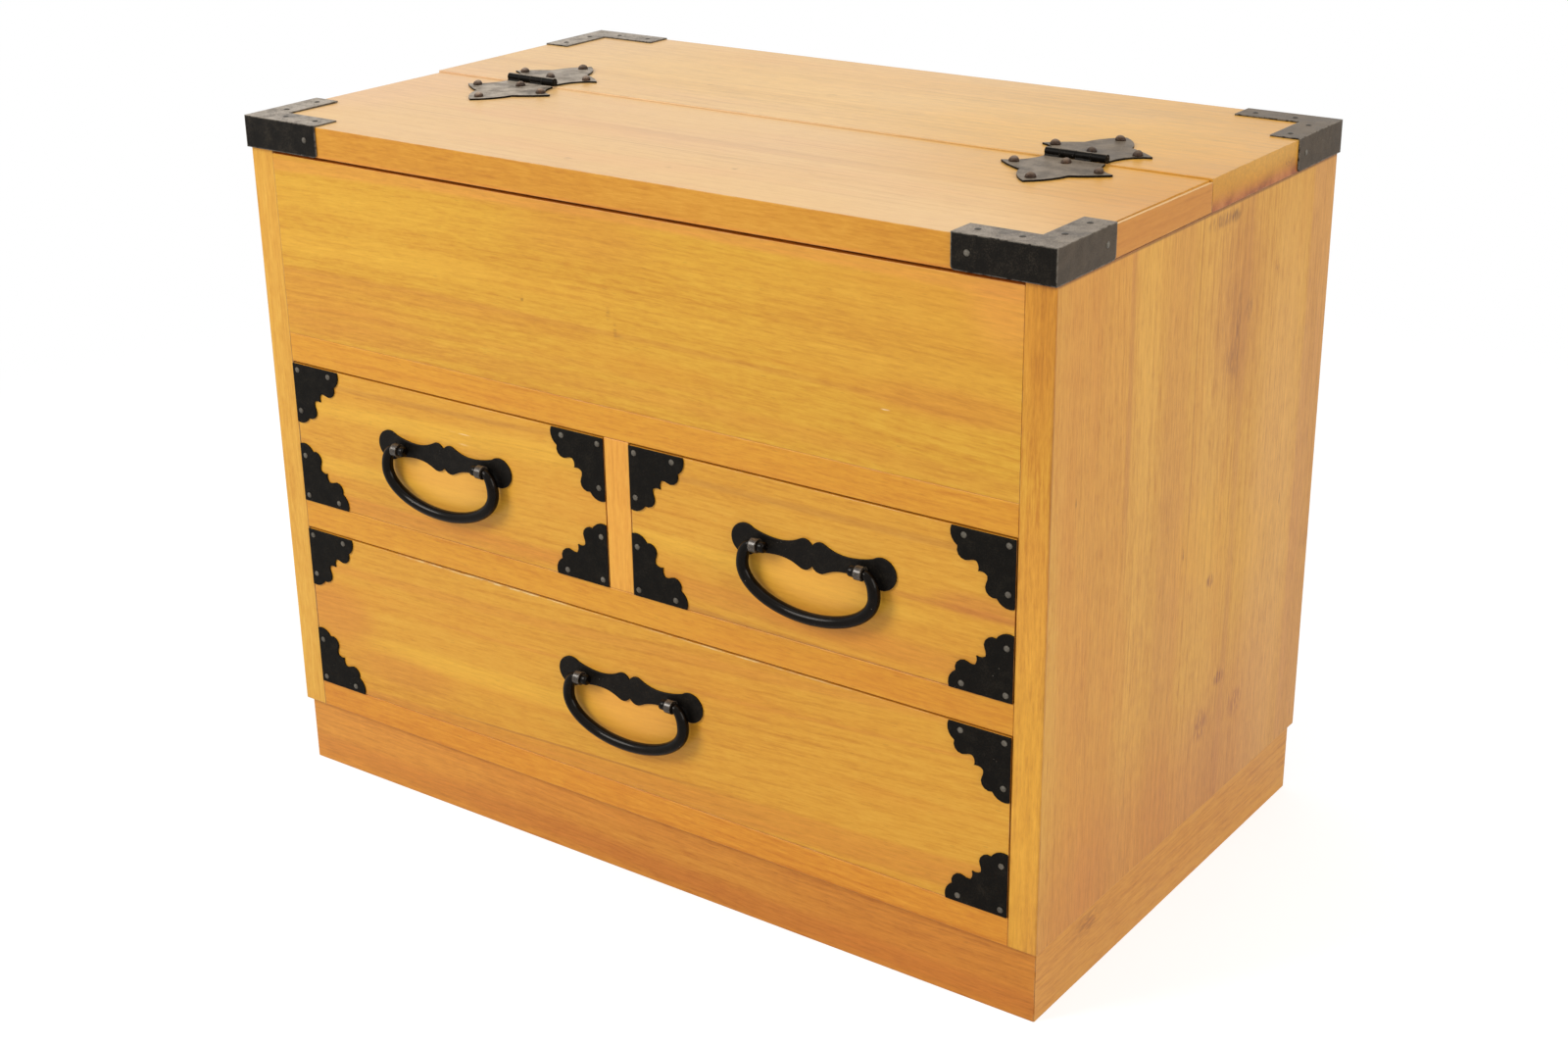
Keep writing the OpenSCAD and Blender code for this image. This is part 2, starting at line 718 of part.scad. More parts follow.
// A round rod swept along a line of [x, y, radius] in the X-Y plane
module swept_rod(line, sides) {
    n = len(line);
    way = [for (i = [0 : n - 1])
        i == 0 ? [1, 0] :
        i == n - 1 ? [1, 0] :
        let (s = [line[i + 1].x - line[i - 1].x, line[i + 1].y - line[i - 1].y]) s / norm(s)];
    across = [for (w = way) [-w.y, w.x]];
    pts = [for (i = [0 : n - 1]) for (j = [0 : sides - 1])
        let (a = 360 * j / sides, r = line[i].z)
        [line[i].x + r * cos(a) * across[i].x, line[i].y + r * cos(a) * across[i].y, r * sin(a)]];
    walls = [for (i = [0 : n - 2]) for (j = [0 : sides - 1])
        let (k = (j + 1) % sides, p = i * sides, q = p + sides)
        each [[p + j, q + j, q + k], [p + j, q + k, p + k]]];
    caps = [[for (j = [0 : sides - 1]) j], [for (j = [sides - 1 : -1 : 0]) (n - 1) * sides + j]];
    polyhedron(points = pts, faces = concat(walls, caps));
}

// One end of a bail: the pin through the eye and the round knob beyond it, from X 0 inwards
module bail_end() {
    neck = eye_w + 2 * eye_side_gap;
    end = neck + knob_len;
    rim = 0.5;
    nose = 1.2;
    roundness = 1 - cos(45);
    knob = concat(arc([knob_r - rim, neck], [knob_r, neck + rim], rim * roundness, 3),
                  arc([knob_r, end - nose], [knob_r - nose, end], nose * roundness));
    rotate([0, -90, 0])
        rotate_extrude()
            polygon(concat([[0, -cut], [bail_pin_r, -cut], [bail_pin_r, neck]], knob,
                           [[knob_r - nose, end], [0, end]]));
}

// The swinging bail of a handle: a rod that swells from its ends to its middle
module bail(d) {
    color(black_iron) at_handle(d) translate([0, 0, pivot_out])
        union() {
            swept_rod(bail_line(), rod_sides);
            for (side = [-1, 1]) on_side(side) translate([bail_start_x, 0, 0]) bail_end();
        }
}

module drawer_front(d) {
    color(varnished)
        difference() {
            board([d[0], d[1]], [0, drawer_front_t], [d[2], d[3]]);
            board([d[0] - cut, d[0] + drawer_side_t], [lap_y, drawer_front_t + cut],
                  [d[2] - cut, d[3] + cut]);
            board([d[1] - drawer_side_t, d[1] + cut], [lap_y, drawer_front_t + cut],
                  [d[2] - cut, d[3] + cut]);
            board([d[0] - cut, d[1] + cut], [lap_y, drawer_front_t + cut],
                  [d[2] - cut, d[2] + drawer_bottom_t]);
            at_drawer_corners(d) at_corner_nails() nail_hole();
            at_handle(d) eye_holes();
        }
}

// The two sides of a drawer, lapped into its front and standing on its bottom
module drawer_sides(d) {
    color(bare_wood)
        for (x = [d[0], d[1] - drawer_side_t])
            board([x, x + drawer_side_t], [lap_y, drawer_end], [d[2] + drawer_bottom_t, d[3]]);
}

module drawer_back(d) {
    color(bare_wood)
        board([d[0] + drawer_side_t, d[1] - drawer_side_t],
              [drawer_end - drawer_back_t, drawer_end], [d[2] + drawer_bottom_t, d[3]]);
}

module drawer_bottom(d) {
    color(bare_wood)
        board([d[0], d[1]], [lap_y, drawer_end], [d[2], d[2] + drawer_bottom_t]);
}

side_board(-1);  // side_board_left
side_board(1);  // side_board_right
back_panel();
rail(plinth_h, bottom_rail_h);  // bottom_rail
rail(mid_rail_z, mid_rail_h);  // mid_rail
rail(upper_rail_z, upper_rail_h);  // upper_rail
shelf(wide_z);  // bottom_board
shelf(small_z);  // dust_board
shelf(floor_z);  // compartment_floor
drawer_divider();
front_panel();
plinth_cross(0);  // plinth_front
plinth_cross(1);  // plinth_back
plinth_side(-1);  // plinth_left
plinth_side(1);  // plinth_right
lid_rear();
bracket(-1, true);  // bracket_rear_left
bracket(1, true);  // bracket_rear_right
bracket_nails(true);  // bracket_rear_nails
hinge_leaf(-1, true);  // hinge_leaf_rear_left
hinge_leaf(1, true);  // hinge_leaf_rear_right
hinge_pins();
hinge_nails(true);  // hinge_rear_nails
lid_flap();
flap_lippings();
bracket(-1, false);  // bracket_front_left
bracket(1, false);  // bracket_front_right
bracket_nails(false);  // bracket_front_nails
hinge_leaf(-1, false);  // hinge_leaf_front_left
hinge_leaf(1, false);  // hinge_leaf_front_right
hinge_nails(false);  // hinge_front_nails
drawer_front(drawer_left);  // drawer_left_front
drawer_sides(drawer_left);  // drawer_left_sides
drawer_back(drawer_left);  // drawer_left_back
drawer_bottom(drawer_left);  // drawer_left_bottom
drawer_corners(drawer_left);  // drawer_left_corners
drawer_corner_nails(drawer_left);  // drawer_left_corner_nails
handle_plate(drawer_left);  // drawer_left_handle_plate
drawer_eyes(drawer_left);  // drawer_left_eyes
bail(drawer_left);  // drawer_left_bail
drawer_front(drawer_right);  // drawer_right_front
drawer_sides(drawer_right);  // drawer_right_sides
drawer_back(drawer_right);  // drawer_right_back
drawer_bottom(drawer_right);  // drawer_right_bottom
drawer_corners(drawer_right);  // drawer_right_corners
drawer_corner_nails(drawer_right);  // drawer_right_corner_nails
handle_plate(drawer_right);  // drawer_right_handle_plate
drawer_eyes(drawer_right);  // drawer_right_eyes
bail(drawer_right);  // drawer_right_bail
drawer_front(drawer_wide);  // drawer_wide_front
drawer_sides(drawer_wide);  // drawer_wide_sides
drawer_back(drawer_wide);  // drawer_wide_back
drawer_bottom(drawer_wide);  // drawer_wide_bottom
drawer_corners(drawer_wide);  // drawer_wide_corners
drawer_corner_nails(drawer_wide);  // drawer_wide_corner_nails
handle_plate(drawer_wide);  // drawer_wide_handle_plate
drawer_eyes(drawer_wide);  // drawer_wide_eyes
bail(drawer_wide);  // drawer_wide_bail
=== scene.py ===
import json
from math import cos, pi, radians, sin
from random import Random

import bpy
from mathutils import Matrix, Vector


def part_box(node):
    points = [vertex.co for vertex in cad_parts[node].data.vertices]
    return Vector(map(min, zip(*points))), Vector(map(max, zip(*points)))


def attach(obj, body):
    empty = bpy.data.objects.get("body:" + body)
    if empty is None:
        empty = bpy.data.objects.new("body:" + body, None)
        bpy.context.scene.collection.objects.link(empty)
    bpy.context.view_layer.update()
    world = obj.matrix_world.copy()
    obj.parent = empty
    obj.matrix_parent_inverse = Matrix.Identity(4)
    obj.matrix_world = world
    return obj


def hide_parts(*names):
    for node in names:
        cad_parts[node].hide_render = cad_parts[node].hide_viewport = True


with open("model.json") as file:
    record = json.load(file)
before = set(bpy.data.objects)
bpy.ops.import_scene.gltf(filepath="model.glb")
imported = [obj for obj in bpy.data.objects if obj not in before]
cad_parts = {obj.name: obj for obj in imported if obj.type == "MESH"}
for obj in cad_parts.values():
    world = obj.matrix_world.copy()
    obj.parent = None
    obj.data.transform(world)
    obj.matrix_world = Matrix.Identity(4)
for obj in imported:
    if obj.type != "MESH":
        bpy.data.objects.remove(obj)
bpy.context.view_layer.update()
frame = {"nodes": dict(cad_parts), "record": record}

# The photograph was taken from the chest's right-hand front, from a little above the lid.
# The camera's place, its three turns and its lens were worked out from the chest's corners.
camera = bpy.data.objects.new("camera", bpy.data.cameras.new("camera"))
bpy.context.scene.collection.objects.link(camera)
camera.location = (0.8515, -1.1791, 0.7819)
camera.rotation_euler = (radians(67.924), radians(0.740), radians(35.574))
camera.data.sensor_width = 36
camera.data.lens = 52.87
bpy.context.scene.camera = camera

# The side boards are wide planks of a pale, silky softwood with the grain upright, glued up
# from narrower ones, planed and given a golden varnish outside; inside they are bare. The
# shelves are housed in them, and the back panel sits in a rabbet along their rear edge.
to_left, to_right, to_front = (-1, 0, 0), (1, 0, 0), (0, -1, 0)


def seen(colour, times=1.0):
    """A colour as it is seen, from 0 to 255, as the light that a surface gives back. times
    is a factor for the whole colour, or one for each of its parts."""
    factors = times if isinstance(times, tuple) else (times, times, times)
    parts = [part * factor / 255 for part, factor in zip(colour, factors)]
    return (*[v / 12.92 if v < 0.04045 else ((v + 0.055) / 1.055) ** 2.4 for v in parts], 1)


def feed(tree, value, socket):
    """Joins another node's output to a socket, or sets the socket to a plain value."""
    if isinstance(value, bpy.types.NodeSocket):
        tree.links.new(value, socket)
    elif value is not None:
        socket.default_value = value


def add_node(tree, kind, *values, **settings):
    """Adds one node, with its settings, and feeds its sockets in their order."""
    node = tree.nodes.new("ShaderNode" + kind)
    for name, value in settings.items():
        setattr(node, name, value)
    for socket, value in zip(node.inputs, values):
        feed(tree, value, socket)
    return node


class Finish:
    """A finish under way: each layer is a node, joined to the layers under it."""

    def __init__(self, name):
        self.material = bpy.data.materials.new(name)
        self.material.use_nodes = True
        self.tree = self.material.node_tree
        place = self.layer("TexCoord").outputs
        self.here = place["Object"]
        self.facing = place["Normal"]

    def layer(self, kind, *values, **settings):
        return add_node(self.tree, kind, *values, **settings)

    def math(self, operation, *values):
        return self.layer("Math", *values, operation=operation).outputs[0]

    def times(self, value, factor):
        return self.math("MULTIPLY", value, factor)

    def add(self, value, share, to):
        """A share of one layer, added to another."""
        return self.math("MULTIPLY_ADD", value, share, to)

    def cloud(self, where, size=1.0, detail=2.0, rough=0.5):
        """Soft random patches, about 1/size wide, as one value around a half."""
        return self.layer("TexNoise", where, None, size, detail, rough).outputs[0]

    def step(self, value, low, high):
        """0 at low, 1 at high, and a soft slope between them."""
        return self.layer("MapRange", value, low, high, 0.0, 1.0,
                          interpolation_type="SMOOTHSTEP").outputs[0]

    def tones(self, value, colours):
        """A run of colours, evenly spaced, that the value picks from."""
        ramp = self.layer("ValToRGB", value)
        stops = ramp.color_ramp.elements
        while len(stops) < len(colours):
            stops.new(0.5)
        for i, colour in enumerate(colours):
            stops[i].position = i / (len(colours) - 1)
            stops[i].color = seen(colour)
        return ramp.outputs[0]

    def over(self, share, under, top):
        """One colour laid over another by a share from 0 to 1."""
        node = self.layer("Mix", share, data_type="RGBA")
        feed(self.tree, under, node.inputs[6])
        feed(self.tree, top, node.inputs[7])
        return node.outputs[2]

    def near(self, spot, reach):
        """1 at a spot on the surface, fading to 0 at its reach along each axis."""
        away = self.layer("VectorMath", self.here, spot, operation="SUBTRACT").outputs[0]
        far = self.layer("VectorMath", away, reach, operation="DIVIDE").outputs[0]
        length = self.layer("VectorMath", far, operation="LENGTH").outputs[1]
        return self.step(length, 1.0, 0.3)

    def towards(self, direction, low=0.5, high=0.9):
        """1 where the surface faces a direction, 0 where it faces elsewhere."""
        side = self.layer("VectorMath", self.facing, direction, operation="DOT_PRODUCT").outputs[1]
        return self.step(side, low, high)

    def rounded(self, radius):
        """The surface's slope with its edges rounded, and a share that is 1 along those edges."""
        soft = self.layer("Bevel", radius, samples=6).outputs[0]
        true = self.layer("NewGeometry").outputs["Normal"]
        match = self.layer("VectorMath", soft, true, operation="DOT_PRODUCT").outputs[1]
        return soft, self.step(match, 0.995, 0.86)

    def surface(self, colour, rough, shine, height, relief, slope):
        """Lays the finished layers on the shader. relief is the strength of the fine bumps."""
        bump = self.layer("Bump")
        bump_depth = 0.0003
        for name, value in (("Strength", relief), ("Distance", bump_depth), ("Height", height),
                            ("Normal", slope)):
            feed(self.tree, value, bump.inputs[name])
        shader = self.tree.nodes["Principled BSDF"]
        for name, value in (("Base Color", colour), ("Roughness", rough),
                            ("Specular IOR Level", shine), ("Normal", bump.outputs[0])):
            feed(self.tree, value, shader.inputs[name])
        return shader


# The wood's figure, layer by layer: changes in a metre along the grain and across it, detail,
# roughness, and the layer's share of the tone.
figure = {"bands": (1.2, 24.0, 3.0, 0.55, 0.30),
          "streaks": (7.0, 270.0, 3.0, 0.60, 0.46),
          "fibre": (55.0, 620.0, 3.0, 0.75, 0.95),
          "silk": (60.0, 40.0, 2.0, 0.50, 0.14),
          "mottle": (170.0, 430.0, 2.0, 0.50, 0.22),
          "patches": (4.5, 11.0, 2.0, 0.50, 0.24)}
grain_sway = 0.016
year_width = 0.0085
year_bend = 3.0
late_wood = -0.12
dash_share = 0.16
rosy_share = 0.20
rosy_tint = (1.05, 0.94, 1.02)
vein_tip = 0.05
patch_swing = 0.13
wood_shine = 0.35
wood_relief = 0.12
chafed_edge = 0.0009
chafed_colour = (244, 210, 150)
bare_tones = [(188, 146, 96), (206, 168, 116), (220, 186, 134), (228, 200, 152)]
bare_roughness = 0.3


def wood(name, lie, shades, seed, faces=(), veins=(), marks=(), tints=(), ends=None, gloss=0.36,
         worn=0.35, contrast=1.0, slant=0.0, bow=0.0):
    """Solid wood. lie gives the axes along the grain, across the face and through the board.
    Each entry of faces gives a direction and the tones of the faces that look that way. Each
    vein is a soft band along the grain: its place across at the middle of the chest, half its
    width, the share of that which is soft, its strength and its colour, and from where to
    where it runs. Marks are small stains, frayed along the grain, and tints are wide soft
    patches of colour; some tints are painted light or painted shade.
    slant and bow lead the grain off the board's own direction."""
    f = Finish(name)
    split = f.layer("SeparateXYZ", f.here)
    along, straight, through = [split.outputs["XYZ".index(axis)] for axis in lie]
    across = f.add(along, -slant, straight)
    across = f.add(f.times(along, along), -bow, across)
    shifted = f.math("ADD", along, seed)

    def grown(slow, quick, size=1.0, detail=2.0, rough=0.5):
        """A random layer with slow changes along the grain and quick ones across it."""
        place = f.layer("CombineXYZ", shifted, across, through).outputs[0]
        place = f.layer("VectorMath", place, (slow, quick, quick), operation="MULTIPLY").outputs[0]
        return f.cloud(place, size, detail, rough)

    def centred(layer):
        return f.math("SUBTRACT", layer, 0.5)

    def figured(patch_colour):
        """A patch's colour that still shows the figure of the wood under it; the patches are stains, and
        also painted light and shade.
        """
        swing = min(patch_swing, 255 / max(patch_colour) - 1)
        return f.over(tone, seen(patch_colour, 1 - swing), seen(patch_colour, 1 + swing))

    sway = centred(grown(2.4, 7.0))
    across = f.add(sway, grain_sway, across)
    layers = {}
    tone = 0.5
    for layer, (slow, quick, detail, rough, share) in figure.items():
        layers[layer] = grown(slow, quick, 1.0, detail, rough)
        tone = f.add(centred(layers[layer]), share * contrast, tone)
    years = f.add(layers["bands"], year_bend, f.times(across, 1 / year_width))
    late = f.step(f.math("SINE", f.times(years, 2 * pi)), 0.5, 1.0)
    late = f.times(late, f.step(grown(3.0, 14.0, 1.3, 1.0), 0.38, 0.66))
    dashes = f.step(grown(130.0, 1500.0, 1.0, 0.0), 0.74, 0.82)
    tone = f.add(late, late_wood, tone)

    colour = f.tones(tone, shades)
    rosy = f.step(grown(2.6, 17.0, 1.7), 0.48, 0.72)
    colour = f.over(f.times(rosy, rosy_share), colour, seen(shades[1], rosy_tint))
    fray = f.add(layers["streaks"], 1.4, 0.3)
    for middle, half, soft, strength, patch_colour, start, stop in veins:
        off = f.math("ABSOLUTE", f.math("SUBTRACT", across, middle))
        share = f.times(f.step(off, half, half * (1 - soft)), fray)
        runs = f.times(f.step(along, start - vein_tip, start + vein_tip),
                       f.step(along, stop + vein_tip, stop - vein_tip))
        colour = f.over(f.times(share, f.times(runs, strength)), colour, figured(patch_colour))
    colour = f.over(f.times(dashes, dash_share * contrast), colour, seen(shades[0], 0.6))
    rough = f.add(layers["fibre"], 0.12, gloss - 0.06)
    rough = f.add(centred(layers["patches"]), 0.16, rough)

    for direction, tones in faces:
        colour = f.over(f.towards(direction), colour, f.tones(tone, tones))
        if tones is bare_tones:
            rough = f.add(f.towards(direction), bare_roughness, rough)
    grain_axis = [float(axis == lie[0]) for axis in "XYZ"]
    cut = f.layer("VectorMath", f.facing, grain_axis, operation="DOT_PRODUCT").outputs[1]
    pores = f.add(f.cloud(f.here, 1500.0, 1.0), 0.5, f.times(layers["bands"], 0.5))
    blots = f.add(f.cloud(f.here, 75.0, 3.0, 0.6), 0.6, f.times(pores, 0.4))
    pith = ends or [[v * k for v in shades[0]] for k in (0.82, 0.94, 1.04)]
    colour = f.over(f.step(f.math("ABSOLUTE", cut), 0.5, 0.9), colour,
                    f.tones(f.step(blots, 0.34, 0.66), pith))

    for spot, reach, strength, patch_colour in tints:
        colour = f.over(f.times(f.near(spot, reach), strength), colour, figured(patch_colour))
    for spot, reach, strength, patch_colour in marks:
        ragged = f.times(f.near(spot, reach), f.step(grown(110.0, 520.0, 1.0, 3.0), 0.38, 0.62))
        colour = f.over(f.times(ragged, strength), colour, seen(patch_colour))
    slope, edge = f.rounded(chafed_edge)
    chafed = f.times(edge, f.step(f.cloud(f.here, 70.0, 3.0, 0.6), 0.45, 0.65))
    colour = f.over(f.times(chafed, worn), colour, seen(chafed_colour))
    height = f.add(layers["fibre"], 0.5, f.times(dashes, -0.8))
    height = f.add(layers["streaks"], 0.6, height)
    f.surface(colour, rough, wood_shine, height, wood_relief, slope)
    return f.material


def spots(axis, place, depth, *rows):
    """Patches of colour on a face that lies at a place on one axis: stains, and in some tables
    painted light and shade. Each row gives a patch's middle and half its size along the other
    two axes, its strength and its colour; depth is how far it sinks in."""
    made = []
    for middle_a, middle_b, half_a, half_b, strength, patch_colour in rows:
        middle, reach = [middle_a, middle_b], [half_a, half_b]
        middle.insert("XYZ".index(axis), place)
        reach.insert("XYZ".index(axis), depth)
        made.append((middle, reach, strength, patch_colour))
    return made


def dress(node, finish, rounding=0.0):
    """Gives a piece its finish and, where it has no nail holes, takes the sharpness off its edges."""
    piece = frame["nodes"][node]
    piece.material_slots[0].link = "OBJECT"
    piece.material_slots[0].material = finish
    if rounding:
        weld = piece.modifiers.new("joined faces", "WELD")
        weld.merge_threshold = 0.00001
        bevel = piece.modifiers.new("rounded edges", "BEVEL")
        bevel.width = rounding
        bevel.segments = 2
        bevel.limit_method = "ANGLE"
        bevel.angle_limit = radians(40)
        bevel.harden_normals = True


board_edge = 0.0005
front_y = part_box("side_board_right")[0].y
side_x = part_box("side_board_right")[1].x
stile_x = 0.291
mark_depth = 0.002
stain_depth = 0.004
tint_depth = 0.02
everywhere = (-1.0, 1.0)
side_tones = [(176, 113, 38), (194, 133, 49), (207, 150, 61), (214, 159, 69), (220, 169, 80)]
stile_tones = [(196, 126, 36), (212, 149, 50), (224, 165, 62), (232, 179, 74), (238, 189, 86)]
right_stile_tones = [(182, 108, 30), (200, 131, 38), (214, 150, 46), (222, 162, 54), (230, 174, 66)]
side_veins = [(-0.125, 0.046, 0.4, 0.22, (198, 122, 44), *everywhere),
              (-0.088, 0.004, 0.6, 0.42, (176, 112, 54), 0.28, 0.60),
              (-0.067, 0.016, 0.5, 0.28, (218, 164, 72), *everywhere),
              (-0.030, 0.022, 0.5, 0.38, (194, 132, 60), *everywhere),
              (-0.0045, 0.0008, 0.6, 0.45, (156, 98, 44), 0.20, 0.60),
              (0.022, 0.026, 0.5, 0.22, (218, 164, 76), *everywhere),
              (0.060, 0.006, 0.7, 0.34, (182, 120, 60), *everywhere),
              (0.168, 0.022, 0.25, 0.42, (190, 130, 80), *everywhere)]
side_marks = spots("X", side_x, stain_depth,
                   (0.050, 0.366, 0.0045, 0.036, 0.90, (152, 98, 46)),
                   (0.045, 0.350, 0.014, 0.018, 0.72, (156, 102, 50)),
                   (0.064, 0.378, 0.007, 0.012, 0.72, (156, 104, 54)),
                   (0.102, 0.394, 0.004, 0.003, 0.60, (140, 90, 56)),
                   (0.020, 0.441, 0.026, 0.006, 0.70, (134, 84, 46)),
                   (0.038, 0.440, 0.008, 0.005, 0.80, (110, 70, 40)),
                   (0.032, 0.210, 0.007, 0.006, 1.00, (146, 90, 54)),
                   (0.053, 0.136, 0.010, 0.007, 1.00, (146, 88, 52)),
                   (0.030, 0.111, 0.015, 0.015, 0.85, (158, 98, 58)),
                   (0.080, 0.107, 0.015, 0.013, 0.75, (162, 100, 60)),
                   (-0.008, 0.241, 0.0014, 0.007, 0.70, (140, 84, 40)),
                   (-0.120, 0.332, 0.0012, 0.006, 0.70, (120, 76, 38)),
                   (-0.146, 0.320, 0.0012, 0.004, 0.70, (110, 68, 36)),
                   (0.130, 0.233, 0.0010, 0.007, 0.70, (130, 84, 50)))
side_tints_and_painted_shadow = spots("X", side_x, tint_depth,
                   (0.118, 0.200, 0.050, 0.300, 0.32, (226, 172, 102)),
                   (0.050, 0.364, 0.018, 0.050, 0.25, (180, 120, 58)),
                   (0.056, 0.380, 0.050, 0.090, 0.42, (190, 128, 58)),
                   # Painted shadow: a dark line along the side board's top edge, under the end of the
                   # lid.
                   (0.000, 0.4484, 0.500, 0.0020, 0.80, (124, 74, 34)),
                   (0.022, 0.245, 0.070, 0.040, 0.22, (220, 162, 50)),
                   (0.090, 0.215, 0.070, 0.034, 0.20, (220, 162, 60)),
                   (-0.060, 0.040, 0.220, 0.120, 0.50, (190, 118, 60)),
                   (0.090, 0.075, 0.120, 0.120, 0.28, (192, 126, 78)),
                   (0.040, 0.390, 0.040, 0.080, 0.22, (192, 126, 60)))
corner_line = [((0.3012, -0.1748, 0.240), (0.003, 0.003, 0.500), 0.75, (140, 82, 28))]
stile_tints = spots("Y", front_y, mark_depth,
                    (stile_x, 0.440, tint_depth, 0.110, 0.60, (194, 122, 34)),
                    (stile_x, 0.270, tint_depth, 0.080, 0.35, (214, 140, 56)),
                    (stile_x, 0.150, tint_depth, 0.180, 0.50, (232, 168, 60)))
side_right = wood("side_board_right_wood", "ZYX", side_tones, 2.0,
                  [(to_front, right_stile_tones), (to_left, bare_tones)], side_veins, side_marks,
                  side_tints_and_painted_shadow + corner_line + stile_tints, contrast=1.5)
side_left = wood("side_board_left_wood", "ZYX", side_tones, 9.0,
                 [(to_front, stile_tones), (to_right, bare_tones)], side_veins[:4], contrast=1.2)
dress("side_board_right", side_right, board_edge)
dress("side_board_left", side_left, board_edge)

# The rails and the upright between the small drawers close the front of the carcass. They are
# narrow strips of the same wood, planed flush with the side boards and varnished on their faces.
to_back = (0, 1, 0)
behind = [(to_back, bare_tones)]
rail_tones = [(186, 109, 25), (205, 131, 33), (219, 150, 41), (227, 162, 47), (235, 174, 58)]
low_rail_tones = [(185, 101, 23), (204, 123, 31), (218, 142, 39), (228, 156, 47), (236, 170, 60)]
upright_tones = [(197, 120, 38), (218, 146, 50), (232, 162, 61), (240, 175, 70), (246, 187, 82)]
for name, lie, tones, seed in (("bottom_rail", "XZY", low_rail_tones, 21.0),
                               ("mid_rail", "XZY", rail_tones, 25.0),
                               ("upper_rail", "XZY", rail_tones, 29.0),
                               ("drawer_divider", "ZXY", upright_tones, 33.0)):
    dress(name, wood(name + "_wood", lie, tones, seed, behind), board_edge)

# The fixed panel in front of the top compartment is one wide board with the grain running
# across the chest, glued between the side boards and varnished on its face and its top edge.
# Its grain bows a little, and the wood is yellower above and redder below.
to_top = (0, 0, 1)
panel_tones = [(188, 117, 26), (205, 140, 37), (217, 159, 46), (225, 172, 56), (233, 186, 72)]
top_edge_tones = [(196, 120, 36), (208, 134, 44), (216, 142, 52)]
reddish = (206, 130, 46)
yellow = (238, 186, 62)
panel_veins = [(0.423, 0.016, 0.7, 0.14, yellow, -0.40, 0.12),
               (0.391, 0.012, 0.6, 0.20, yellow, -0.40, -0.10),
               (0.391, 0.010, 0.7, 0.12, yellow, *everywhere),
               (0.445, 0.007, 0.7, 0.55, (218, 146, 62), *everywhere),
               (0.366, 0.009, 0.8, 0.28, reddish, -0.40, -0.02),
               (0.370, 0.003, 0.8, 0.24, (190, 116, 44), -0.40, 0.26),
               (0.335, 0.008, 0.7, 0.20, reddish, *everywhere),
               (0.346, 0.004, 0.8, 0.16, reddish, -0.40, 0.10)]
panel_marks = spots("Y", front_y, mark_depth,
                    (-0.070, 0.3825, 0.0018, 0.003, 0.60, (150, 96, 34)),
                    (-0.002, 0.384, 0.0024, 0.006, 0.45, (160, 104, 40)),
                    (0.003, 0.374, 0.0018, 0.007, 0.35, (160, 104, 40)),
                    (0.006, 0.371, 0.0050, 0.002, 0.40, (160, 104, 40)),
                    (0.179, 0.423, 0.0010, 0.001, 0.80, (120, 76, 30)),
                    (0.195, 0.362, 0.0040, 0.0006, 0.90, (250, 232, 190)))
panel_tints_and_painted_shade = spots("Y", front_y, tint_depth,
                    (-0.020, 0.430, 0.080, 0.024, 0.32, reddish),
                    # Painted shade: a wide darker patch over the right half of the panel, where less
                    # lamp light falls.
                    (0.230, 0.410, 0.160, 0.060, 0.30, (214, 146, 50)),
                    (-0.240, 0.345, 0.120, 0.026, 0.35, reddish),
                    (0.240, 0.372, 0.080, 0.014, 0.40, reddish),
                    (0.275, 0.435, 0.040, 0.040, 0.50, (220, 146, 64)))
panel = wood("front_panel_wood", "XZY", panel_tones, 41.0, behind + [(to_top, top_edge_tones)],
             panel_veins, panel_marks, panel_tints_and_painted_shade, bow=-0.06)
dress("front_panel", panel, board_edge)

# The shelves, the bottom and the back panel are thin bare boards of a plainer wood, let into
# the grooves and rabbets of the side boards. They are seen only through the open lid and the
# drawer openings, and from behind.
bare_gloss = 0.6
for name, lie, seed in (("bottom_board", "XYZ", 51.0), ("dust_board", "XYZ", 55.0),
                        ("compartment_floor", "XYZ", 59.0), ("back_panel", "XZY", 63.0)):
    shelf = wood(name + "_wood", lie, bare_tones, seed, gloss=bare_gloss, worn=0.0)
    dress(name, shelf, board_edge)

# The plinth is four boards on edge, mitred, set in a little from the carcass all round,
# varnished outside, and darker and redder than the rest.
plinth_tones = [(172, 96, 30), (191, 116, 37), (207, 134, 45), (215, 146, 53), (223, 158, 63)]
plinth_side_tones = [(178, 108, 40), (197, 130, 50), (211, 146, 60), (217, 155, 68), (225, 167, 80)]
plinth_ends = [(to_right, plinth_side_tones), (to_left, plinth_side_tones)]
plinth_veins = [(0.012, 0.012, 0.7, 0.45, (182, 98, 36), *everywhere),
                (0.039, 0.007, 0.8, 0.35, (214, 140, 50), *everywhere)]
plinth_x = 0.298
plinth_y = -0.17
plinth_depth = 0.05
scuff = spots("X", plinth_x, stain_depth, (-0.108, 0.036, 0.024, 0.010, 0.6, (150, 90, 44)))
# Painted light: the plinth's front is lighter towards its left end and darker towards its right, as the
# lamp from the left lights it.
plinth_painted_light = spots("Y", plinth_y, plinth_depth,
                     (-0.300, 0.030, 0.300, 0.080, 0.40, (222, 150, 60)),
                     (0.300, 0.030, 0.240, 0.080, 0.35, (198, 118, 38)))
for name, lie, faces, seed, marks, tints in (
        ("plinth_front", "XZY", [(to_back, bare_tones)], 71.0, (), plinth_painted_light),
        ("plinth_back", "XZY", [(to_front, bare_tones)], 75.0, (), ()),
        ("plinth_left", "YZX", plinth_ends + [(to_right, bare_tones)], 79.0, (), ()),
        ("plinth_right", "YZX", plinth_ends + [(to_left, bare_tones)], 83.0, scuff, ())):
    base = wood(name + "_wood", lie, plinth_tones, seed, faces, plinth_veins, marks, tints,
                contrast=1.2)
    dress(name, base, board_edge)
